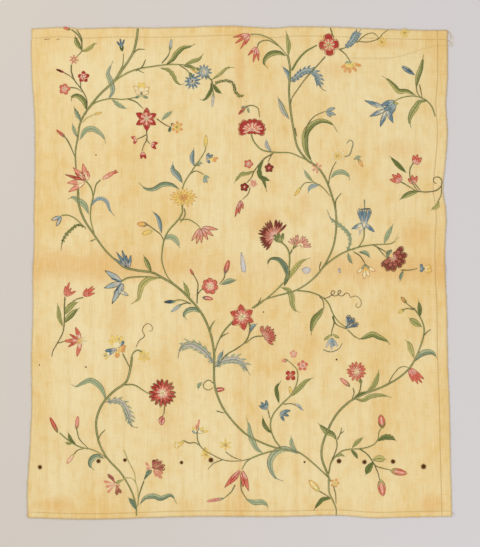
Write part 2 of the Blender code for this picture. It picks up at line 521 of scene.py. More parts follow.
def linen_material():
    """Old linen: uneven threads both ways, yellowed, with stained folds, worn edges, rust and painted shade
    along a crease.
    """
    settings = bpy.context.scene.emb_cloth
    pale, warm, stain = opaque(settings.pale), opaque(settings.warm), opaque(settings.stain)
    n = Nodes("yellowed_linen")
    x, y, _ = n.parts(n.place)

    broad = n.noise(5.5, 4.5, 3.0)
    cloudy = n.noise(24.0, 17.0, 3.0)
    insets = {side: n.attribute(f"in_from_{side}") for side in HEM_WIDTHS}
    nearest = functools.reduce(Shade.least, insets.values())
    rim = 1.0 - nearest.between(4.0 * MM, 60.0 * MM)
    patchy = n.noise(70.0, 55.0, 3.0)
    warmth = broad.between(0.38, 0.66) * 0.45 + cloudy.between(0.42, 0.70) * 0.35
    warmth = warmth + patchy.between(0.45, 0.70) * 0.30 + rim * 0.30
    colour = n.mix(warmth.least(1.0), pale, warm)

    wander = (cloudy - 0.5) * 1.1
    marks = []
    for spot in STAINS:
        px, py = on_cloth(spot.across, spot.down)
        wide = (x - px) * (2.0 / (spot.width * SQUARE))
        high = (y - py) * (2.0 / (spot.height * SQUARE))
        away = (wide * wide + high * high).power(0.5) + wander
        marks.append((1.0 - away.between(0.15, 1.15)) * spot.strength)
    from_level = abs(y - (x * LEVEL_FOLD_SLANT + LEVEL_FOLD)) + (cloudy - 0.5) * 60.0 * MM
    outward = abs(x - 20.0 * MM).between(40.0 * MM, 190.0 * MM) * 0.55 + 0.35
    level = (1.0 - from_level.between(4.0 * MM, 34.0 * MM)) * outward * 0.62
    from_upright = abs(x - UPRIGHT_FOLD) + (cloudy - 0.5) * 20.0 * MM
    ends = abs(y).between(150.0 * MM, 360.0 * MM) * 0.40 + 0.10
    upright = (1.0 - from_upright.between(1.0 * MM, 9.0 * MM)) * ends
    colour = n.mix(strongest([*marks, level, upright]), colour, stain)

    streak = n.noise(95.0, 3.0, 3.0)
    warp = n.noise(800.0, 42.0, 2.0)
    weft = n.noise(48.0, 900.0, 2.0)
    fine = n.noise(1400.0, 1400.0, 1.0)
    colour = n.mix(streak.between(0.48, 0.74) * 0.30, colour, opaque(tone(222, 182, 108)))
    colour = n.mix((1.0 - streak.between(0.26, 0.48)) * 0.22, colour, opaque(settings.thread))
    thread_dark = warp.between(0.48, 0.76) * 0.20 + weft.between(0.48, 0.76) * 0.12
    thread_dark = thread_dark + fine.between(0.5, 0.7) * 0.10
    thread_pale = (1.0 - warp.between(0.28, 0.52)) * 0.24 + (1.0 - weft.between(0.28, 0.52)) * 0.14
    colour = n.mix(thread_dark, colour, opaque(settings.gap))
    colour = n.mix(thread_pale, colour, opaque(settings.thread))

    # painted shade along a curved crease near the top right corner, darkened with the edge colour
    left, bend, right = (on_cloth(across, 5.8)[0] for across in (35.5, 38.5, 44.3))
    painted_crease_shade = y - (x.between(bend, right) * (1.3 * SQUARE) + on_cloth(0.0, 5.85)[1])
    painted_crease_shade = (1.0 - abs(painted_crease_shade).between(0.4 * MM, 2.2 * MM)) * x.between(left - 20.0 * MM, left) * 0.22
    colour = n.mix(painted_crease_shade, colour, opaque(settings.edge))

    hem_lines = [
        (1.0 - abs(insets[side] - width).between(0.4 * MM, 1.5 * MM)) * HEM_SHADES[side]
        for side, width in HEM_WIDTHS.items()
    ]
    worn_edge = (1.0 - nearest.between(0.2 * MM, 2.4 * MM)) * 0.25
    colour = n.mix(strongest([*hem_lines, worn_edge]), colour, opaque(settings.edge))

    ragged = (n.noise(420.0, 420.0, 2.0) - 0.5) * 0.5
    rust = []
    for mark in RUST_MARKS:
        px, py = on_cloth(mark.across, mark.down)
        wide, high = x - px, y - py
        away = (wide * wide + high * high).power(0.5) / (mark.radius * SQUARE) + ragged
        rust.append(1.0 - away.between(0.55, 1.25))
    colour = n.mix(strongest(rust), colour, opaque(settings.rust))

    threads = warp * 0.35 + weft * 0.35 + fine * 0.30
    return n.finish(
        Base_Color=colour,
        Roughness=0.86 + fine * 0.10,
        Specular_IOR_Level=0.15,
        Normal=n.bump(threads, 0.5, settings.relief),
    )


# Needlework


def silk_material(name, colour):
    """One silk: a soft sheen, plies along the strand and paler patches where it has faded."""
    material = bpy.data.materials.get(f"silk_{name}")
    if material:
        return material
    n = Nodes(f"silk_{name}")
    across = n.parts(n.add("ShaderNodeUVMap", {"uv_map": PLY_MAP}))[1]
    faded = n.noise(30.0, 30.0, 2.0).between(0.45, 0.75) * 0.16
    base = n.mix(faded, opaque(colour), opaque(bpy.context.scene.emb_cloth.pale))
    shade = n.attribute(TONE)
    base = n.mix(shade.between(0.0, 1.0) * 0.24, base, opaque([part * 0.55 for part in colour]))
    ply = n.add("ShaderNodeMath", {"operation": "SINE"}, {0: across * 16.0})
    return n.finish(
        Base_Color=base,
        Roughness=0.46 + ply * 0.05,
        Specular_IOR_Level=0.28,
        Normal=n.bump(ply, 0.35, 0.06 * MM),
    )


# The silk that lightens the middle of a broad stem, and the one between a leaf's dark and pale silks.
PALER_SILKS = {"vine": "light_green", "stalk": "light_green"}
MIDDLE_SILKS = {
    ("deep_green", "light_green"): "green",
    ("deep_green", "straw_green"): "green",
    ("deep_teal", "light_teal"): "teal",
    ("deep_teal", "light_blue"): "teal",
    ("navy", "light_blue"): "mid_blue",
    ("navy", "light_teal"): "mid_blue",
    ("slate", "light_blue"): "mid_blue",
    ("slate", "light_teal"): "teal",
    ("slate", "lavender"): "light_teal",
    ("mid_blue", "cream"): "light_blue",
}

# The stitches' attribute of how dark each is, the map that runs along each, and the map to bake on.
TONE = "tone"
PLY_MAP = "ply"
BAKE_MAP = "OFBake"

# How many short runs a curve has between two places, and the least length that is divided by.
CURVE_STEPS = 14
TINY = 1e-9

# How high a stitch bends over the cloth in the lowest layer, how much more in each layer above it,
# both in millimetres, and how far its ends stray, as a share of its width.
LOWEST_RISE, LAYER_RISE, STRAY = 0.16, 0.30, 0.12

# Stem stitch, in shares of a stitch or row: its step, how far it runs on, its slant and its width.
STEM_STEP, STEM_OVERLAP, STEM_SLANT, STEM_FILL = 0.56, 0.35, 0.22, 1.15

# A leaf: how near its base it is widest, how slim its ends are, how deep its teeth are cut, how far
# its stitches lean forward, and the share of its width under which it is a bare tail.
LEAF_BELLY, LEAF_ENDS, LEAF_TEETH, LEAF_LEAN, LEAF_TAIL = 0.72, 1.25, 0.42, 0.8, 0.10
LEAF_EDGE_STITCH = 2.4 * MM

# The middle and the barbs of a feathery leaf, in shares of its width.
FEATHER_MIDDLE, FEATHER_BARB = 0.46, 0.17

# A petal, in shares of its length: where its inner and its outer stitches start and end, how much
# earlier they end at its sides, and how unevenly the two silks meet.
INNER_START, INNER_END = 0.03, 0.48
OUTER_START, OUTER_END = 0.38, 0.97
PETAL_ROUNDING, PETAL_MEETING = 0.10, 0.08
PETAL_EDGE_STITCH = 3.0 * MM
# How many layers higher a petal without an edge lies, and an edge than its petal.
EDGELESS_LIFT, EDGE_LIFT = 0.6, 0.8
# How far out a ring's petals start, how many degrees they stray and how their lengths differ.
RING_START, RING_TURN, RING_LENGTHS = 0.12, 2.0, (0.94, 1.06)


def along(path, step):
    """A smooth line through places on the pattern: its points at even steps, in metres."""
    points = np.array([on_cloth(*place) for place in path])
    first, last = 2 * points[0] - points[1], 2 * points[-1] - points[-2]
    points = np.vstack([first, points, last])
    share = np.linspace(0.0, 1.0, CURVE_STEPS, endpoint=False)[:, None]
    runs = []
    for a, b, c, d in zip(points, points[1:], points[2:], points[3:], strict=False):
        bend = 2 * a - 5 * b + 4 * c - d
        runs.append(0.5 * (2 * b + (c - a) * share + bend * share**2 + (3 * (b - c) + d - a) * share**3))
    dense = np.vstack(runs + [points[-2:-1]])
    length = np.concatenate([[0.0], np.cumsum(np.linalg.norm(np.diff(dense, axis=0), axis=1))])
    count = max(round(length[-1] / step), 1)
    places = np.linspace(0.0, length[-1], count + 1)
    return np.stack([np.interp(places, length, dense[:, axis]) for axis in (0, 1)], 1)


def turned(directions):
    """The directions turned a quarter to the left."""
    return np.stack([-directions[..., 1], directions[..., 0]], -1)


def along_and_aside(points):
    """The direction of a line at each of its points, and the direction to its left."""
    run = np.gradient(points, axis=0)
    run /= np.maximum(np.linalg.norm(run, axis=1, keepdims=True), TINY)
    return run, turned(run)


def heading(degrees):
    """The direction of a compass heading on the cloth: 0 is up it and 90 to its right."""
    return np.array([math.sin(math.radians(degrees)), math.cos(math.radians(degrees))])


def base_stitch():
    """One plump stitch, one long, one wide and one high: its points and its triangles."""
    shape = bmesh.new()
    onto_x = Matrix.Rotation(math.radians(90.0), 4, "Y")
    bmesh.ops.create_uvsphere(shape, u_segments=4, v_segments=3, radius=0.5, matrix=onto_x)
    bmesh.ops.triangulate(shape, faces=shape.faces[:])
    bmesh.ops.recalc_face_normals(shape, faces=shape.faces[:])
    points = np.array([vert.co for vert in shape.verts])
    triangles = np.array([[vert.index for vert in face.verts] for face in shape.faces])
    shape.free()
    inner = np.abs(points[:, 0]) < 0.4
    points[inner, 0] = np.sign(points[inner, 0]) * 0.36
    points[inner, 1:] *= 0.5 / np.abs(points[inner, 1:]).max()
    points[:, 0] += 0.5
    return points, triangles


class Needlework:
    """Stitches gathered for one embroidered piece, and then sewn as one mesh."""

    def __init__(self, name, seed):
        self.name = name
        self.settings = bpy.context.scene.emb_stitch
        self.chance = np.random.default_rng(seed)
        self.starts, self.ends, self.widths, self.rises, self.silks = [], [], [], [], []

    def stitch(self, starts, ends, silk, width=None, layer=0):
        """Adds straight stitches from each start to each end, in metres."""
        starts, ends = np.atleast_2d(starts), np.atleast_2d(ends)
        uneven = self.settings.unevenness
        width = self.settings.thread if width is None else width
        shake = self.chance.normal(0.0, STRAY * uneven, (2, *starts.shape)) * np.reshape(width, (-1, 1))
        self.starts.append(starts + shake[0])
        self.ends.append(ends + shake[1])
        self.widths.append(width * self.chance.uniform(1 - uneven, 1 + uneven, len(starts)))
        self.rises.append(np.full(len(starts), (LOWEST_RISE + LAYER_RISE * layer) * MM))
        self.silks.append(np.full(len(starts), list(SILKS).index(silk)))

    def line(self, path, silk, width, layer=1, tip=0.55):
        """Stem stitch along a path, in as many rows as its width takes. Its end is tip wide."""
        settings = self.settings
        points = along(path, STEM_STEP * settings.stem_stitch)
        if len(points) < 2:
            return
        run = np.diff(points, axis=0)
        side = turned(run / np.linalg.norm(run, axis=1, keepdims=True))
        share = np.linspace(0.0, 1.0, len(run))[:, None]
        taper = 1.0 + (tip - 1.0) * share**2
        rows = max(round(width / settings.row), 1)
        for row in range(rows):
            middle = (row + 0.5) / rows - 0.5
            centre = side * middle * width * taper
            slant = side * STEM_SLANT * settings.row
            inner = rows > 2 and 0 < row < rows - 1
            self.stitch(
                points[:-1] - STEM_OVERLAP * run + centre - slant,
                points[1:] + STEM_OVERLAP * run + centre + slant,
                PALER_SILKS.get(silk, silk) if inner or (rows == 2 and row == 0) else silk,
                width=STEM_FILL * width / rows * taper[:, 0],
                layer=layer,
            )

    def leaf(self, path, width, dark, light, teeth=0):
        """A leaf in slanting satin stitch: a pale half, a darker half with a dark edge, and a thin tail."""
        gap = self.settings.satin_gap
        thread = self.settings.thread
        points = along(path, gap)
        run, side = along_and_aside(points)
        share = np.linspace(0.0, 1.0, len(points))
        half = 0.5 * width * np.sin(np.pi * share**LEAF_BELLY) ** LEAF_ENDS
        notch = 1.0 - (LEAF_TEETH * ((share * teeth) % 1.0) if teeth else 0.0)
        full = half > LEAF_TAIL * width
        middle = self.between(dark, light)
        for sign, fill, edge, wide in ((1.0, light, middle, 0.6), (-1.0, middle, dark, 0.8)):
            reach = (sign * half * notch)[:, None]
            ends = points + side * reach * 0.92 + run * half[:, None] * LEAF_LEAN
            self.stitch(points[full], ends[full], fill)
            if sign < 0:
                inset = points + side * reach * 0.45 + run * half[:, None] * 0.5
                self.stitch(points[full][::2], inset[full][::2], light, width=0.8 * thread, layer=1)
            rim = (points + side * reach + run * half[:, None] * LEAF_LEAN)[full]
            rim = rim[:: 1 if teeth else max(round(LEAF_EDGE_STITCH / gap), 1)]
            if len(rim) > 1:
                self.stitch(rim[:-1], rim[1:], edge, width=wide * thread, layer=1)
        self.line(path, dark, 0.7 * thread, tip=0.6)

    def feather(self, path, width, dark, light, barbs):
        """A feathery leaf: a slim leaf with pairs of pointed barbs swept forward along its edges."""
        self.leaf(path, FEATHER_MIDDLE * width, dark, light)
        points = along(path, 0.5 * MM)
        run, side = along_and_aside(points)
        for barb in range(barbs):
            share = 0.04 + 0.78 * barb / barbs
            place = int(share * (len(points) - 1))
            reach = 0.5 * width * (0.55 + 0.45 * math.sin(math.pi * share))
            reach *= self.chance.uniform(0.85, 1.15)
            for sign in (1.0, -0.8):
                root = points[place] + side[place] * 0.3 * reach * sign
                out = points[place] + side[place] * reach * sign + run[place] * reach * 1.15
                middle = self.between(dark, light)
                self.petal(root, out, FEATHER_BARB * width, light, middle, blunt=0.9, fullest=0.3)
                self.stitch(root, out, dark, width=0.6 * self.settings.thread, layer=1)
        self.line(path, dark, 0.8 * self.settings.thread, tip=0.6)

    def between(self, dark, light):
        """The silk to use beside a dark and a light one."""
        return MIDDLE_SILKS.get((dark, light), light)

    def petal(
        self, base, tip, width, inner, outer, edge=None, blunt=0.55, fullest=0.42, ragged=0.0, layer=0.0
    ):
        """A petal in long and short stitch from its base to its tip, all in metres. One without an edge
        lies over its neighbours."""
        layer += 0.0 if edge else EDGELESS_LIFT
        base, tip = np.asarray(base), np.asarray(tip)
        axis = tip - base
        side = turned(axis / max(np.linalg.norm(axis), TINY))
        bulge = math.log(0.5) / math.log(fullest)

        def at(share, spread):
            half = 0.5 * width * np.sin(np.pi * np.clip(share, 0.02, 0.98) ** bulge) ** blunt
            return base + axis * np.asarray(share)[:, None] + side * (half * spread)[:, None]

        count = max(round(width / self.settings.satin_gap), 2)
        spread = np.linspace(-0.9, 0.9, count)
        short = self.chance.uniform(-PETAL_MEETING, PETAL_MEETING, count)
        reach = OUTER_END - PETAL_ROUNDING * np.abs(spread)
        reach = reach + self.chance.uniform(-ragged, ragged, count)
        inside = at(np.full(count, INNER_START), spread), at(INNER_END + short, spread)
        self.stitch(*inside, inner, layer=layer)
        self.stitch(at(OUTER_START + short, spread), at(reach, spread), outer, layer=layer)
        if edge:
            count = max(round(2.2 * np.linalg.norm(axis) / PETAL_EDGE_STITCH), 3)
            shares = np.linspace(0.04, 1.0, count)
            thin = 0.75 * self.settings.thread
            for sign in (-1.0, 1.0):
                rim = at(shares, np.full(len(shares), sign))
                rim[-1] = tip
                self.stitch(rim[:-1], rim[1:], edge, width=thin, layer=layer + EDGE_LIFT)

    def fan(self, centre, petals, length, width, aim, spread, silks, oval=1.0, **shape):
        """Petals round a centre, from one side of a spread to the other; 360 closes the ring."""
        closed = spread >= 360
        turns = np.arange(petals) / petals * 360 if closed else np.linspace(-0.5, 0.5, petals) * spread
        centre, ahead, aside = np.asarray(centre), heading(aim), heading(aim + 90.0)
        for turn in turns:
            turn = math.radians(turn + self.chance.normal(0.0, RING_TURN))
            way = ahead * math.cos(turn) + aside * math.sin(turn) * oval
            grow = length * self.chance.uniform(*RING_LENGTHS)
            base = centre + way * length * RING_START
            self.petal(base, centre + way * grow, width, *silks, **shape)

    def spray(self, row, **shape):
        """The petals of a flower seen from its side, from its root to each tip."""
        root = np.array(on_cloth(*row.root))
        for tip in row.tips:
            end = np.array(on_cloth(*tip))
            begin = root + (end - root) * 0.06
            self.petal(begin, end, row.width * MM, row.inner, row.outer, row.edge, **shape)

    def bloom(self, row, **shape):
        """An open flower: its ring of petals and its eye of knots."""
        centre = np.array(on_cloth(row.across, row.down))
        silks = (row.inner, row.outer, row.edge)
        sizes = (row.petals, row.length * MM, row.width * MM, row.aim, 360)
        self.fan(centre, *sizes, silks, row.oval, **shape)
        if row.eye:
            reach = 0.22 * row.length * MM * min(row.oval + 0.2, 1.0)
            self.knots(centre, reach, max(round(1.1 * row.length), 4), row.eye)

    def bud(self, row):
        """A closed bud: a folded petal with a pale streak, and sepals that hold it."""
        base, tip = np.array(on_cloth(*row.base)), np.array(on_cloth(*row.tip))
        axis = tip - base
        side = turned(axis) * row.width * MM / np.linalg.norm(axis)
        self.petal(base, tip, row.width * MM, row.outer, row.outer, row.edge)
        self.petal(base + axis * 0.15, base + axis * 0.92, 0.36 * row.width * MM, row.inner, row.inner)
        for lean in (-0.46, 0.0, 0.46):
            end = base + axis * (0.16 + 0.50 * abs(lean)) + side * lean
            self.petal(base - axis * 0.06, end, 0.26 * row.width * MM, row.sepal, row.sepal)

    def knots(self, centre, radius, count, silk, layer=2):
        """A patch of small round knots."""
        turns = self.chance.uniform(0.0, 360.0, count)
        reach = radius * np.sqrt(np.linspace(0.0, 1.0, count))
        for turn, away in zip(turns, reach, strict=True):
            spot = np.asarray(centre) + heading(turn) * away
            half = heading(turn + 70.0) * 0.55 * self.settings.thread
            self.stitch(spot - half, spot + half, silk, width=1.25 * self.settings.thread, layer=layer)

    def sewn(self):
        """Makes the stitches one object: every stitch bends over the cloth from end to end."""
        tree = tree_of(bpy.data.objects[LINEN_PIECE].data)
        starts, ends = np.vstack(self.starts), np.vstack(self.ends)
        widths, rises = np.concatenate(self.widths), np.concatenate(self.rises)
        used, silks = np.unique(np.concatenate(self.silks), return_inverse=True)
        base, triangles = base_stitch()
        count = len(starts)
        ground = np.array(
            [
                [height_over(tree, x, y) for x, y in (start, (start + end) / 2, end)]
                for start, end in zip(starts, ends, strict=True)
            ]
        )
        run = ends - starts
        length = np.maximum(np.linalg.norm(run, axis=1, keepdims=True), TINY)
        side = turned(run / length)
        u, v, w = base.T
        flat = starts[:, None] + run[:, None] * u[None, :, None]
        flat = flat + side[:, None] * (widths[:, None] * v)[:, :, None]
        low, middle, high = ground.T
        bend = 2.0 * (low + high - 2.0 * middle)
        level = low[:, None] + (high - low - bend)[:, None] * u + bend[:, None] * u**2
        inner = (np.abs(u - 0.5) < 0.49).astype(float)
        level = level + rises[:, None] * inner + (widths * self.settings.plumpness)[:, None] * w
        points = np.concatenate([flat, level[:, :, None]], 2).reshape(-1, 3)
        faces = (triangles[None] + (np.arange(count) * len(base))[:, None, None]).reshape(-1, 3)
        mesh = bpy.data.meshes.new(self.name)
        mesh.from_pydata(points.tolist(), [], faces.tolist())
        mesh.polygons.foreach_set("material_index", np.repeat(silks, len(triangles)).astype(np.int32))
        self.number_stitches(mesh, count, base, faces)
        colours = bpy.context.scene.emb_silk
        for index in used:
            name = list(SILKS)[index]
            mesh.materials.append(silk_material(name, getattr(colours, name)))
        finished(mesh)

    def number_stitches(self, mesh, count, base, faces):
        """Gives each stitch a tone, the run of its plies and a small field of its own on the bake map."""
        tones = np.repeat(self.chance.random(count), len(base)).astype(np.float32)
        mesh.attributes.new(TONE, "FLOAT", "POINT").data.foreach_set("value", tones)
        corners = faces.reshape(-1)
        stitch, point = corners // len(base), corners % len(base)
        run = np.stack([base[point, 0], base[point, 1] + 0.5], 1)
        fields = math.ceil(math.sqrt(count))
        place = np.stack([stitch % fields, stitch // fields], 1)
        for name, places in ((PLY_MAP, run), (BAKE_MAP, (place + 0.15 + 0.7 * run) / fields)):
            layer = mesh.uv_layers.new(name=name)
            layer.uv.foreach_set("vector", places.astype(np.float32).ravel())


# The stems of the pattern

# A stem: its silk, its width in millimetres, and the places that it passes, in squares.
Stem = namedtuple("Stem", "silk width path")

MAIN_VINES = table(
    Stem,
    ("vine", 3.3, ((13.8, 2.9), (13.65, 4.0), (13.3, 5.3), (12.5, 6.6), (11.35, 8.15), (9.95, 9.5),
        (8.6, 11.2), (8.0, 12.4), (7.8, 13.7), (7.55, 15.2), (7.6, 16.9))),
    ("vine", 3.2, ((7.8, 18.9), (7.9, 20.5), (8.45, 22.0), (9.4, 23.45), (10.6, 25.1), (12.1, 26.5),
        (12.7, 26.9))),
    ("vine", 3.3, ((12.6, 26.8), (13.8, 27.05), (15.2, 27.25), (16.3, 27.8), (17.6, 28.6), (19.0, 29.9),
        (20.2, 31.4), (21.0, 33.2), (21.4, 35.2), (21.4, 37.2), (21.5, 38.7), (22.1, 40.4), (23.1, 41.9),
        (24.6, 43.4), (26.4, 44.35), (28.1, 44.9), (29.8, 45.2), (31.3, 46.3), (32.9, 47.8))),
    ("vine", 3.0, ((28.8, 5.6), (29.0, 7.0), (28.9, 9.0), (29.05, 11.0), (29.35, 12.9), (29.75, 14.7),
        (30.7, 16.0), (31.6, 16.6), (32.4, 17.6), (33.0, 19.0), (33.55, 21.0), (33.6, 23.0), (33.2, 25.0),
        (32.1, 27.0), (30.8, 28.3), (29.4, 29.1), (27.6, 29.6), (26.4, 30.0), (25.2, 30.8))),
    ("vine", 2.6, ((23.2, 32.2), (22.4, 33.1), (21.8, 34.2), (21.45, 35.3))),
    ("vine", 3.0, ((33.0, 48.1), (32.6, 47.0), (32.2, 45.9), (32.2, 44.7), (32.7, 43.2), (33.6, 41.5),
        (34.9, 40.2), (36.4, 39.4), (38.2, 38.7), (39.9, 37.75), (41.1, 36.6), (41.9, 35.0), (42.4, 33.3),
        (42.2, 32.1), (41.4, 30.8))),
    ("vine", 3.2, ((13.2, 35.7), (13.05, 36.8), (12.6, 38.2), (11.4, 39.1), (10.3, 40.3), (9.7, 41.7),
        (9.65, 43.0), (10.0, 44.5), (10.8, 45.9), (12.1, 47.3), (13.1, 49.0), (13.6, 50.5), (13.65, 51.5))),
    ("vine", 2.6, ((32.85, 48.0), (32.9, 49.2), (33.3, 50.1), (33.6, 50.9), (33.6, 51.5))),
)

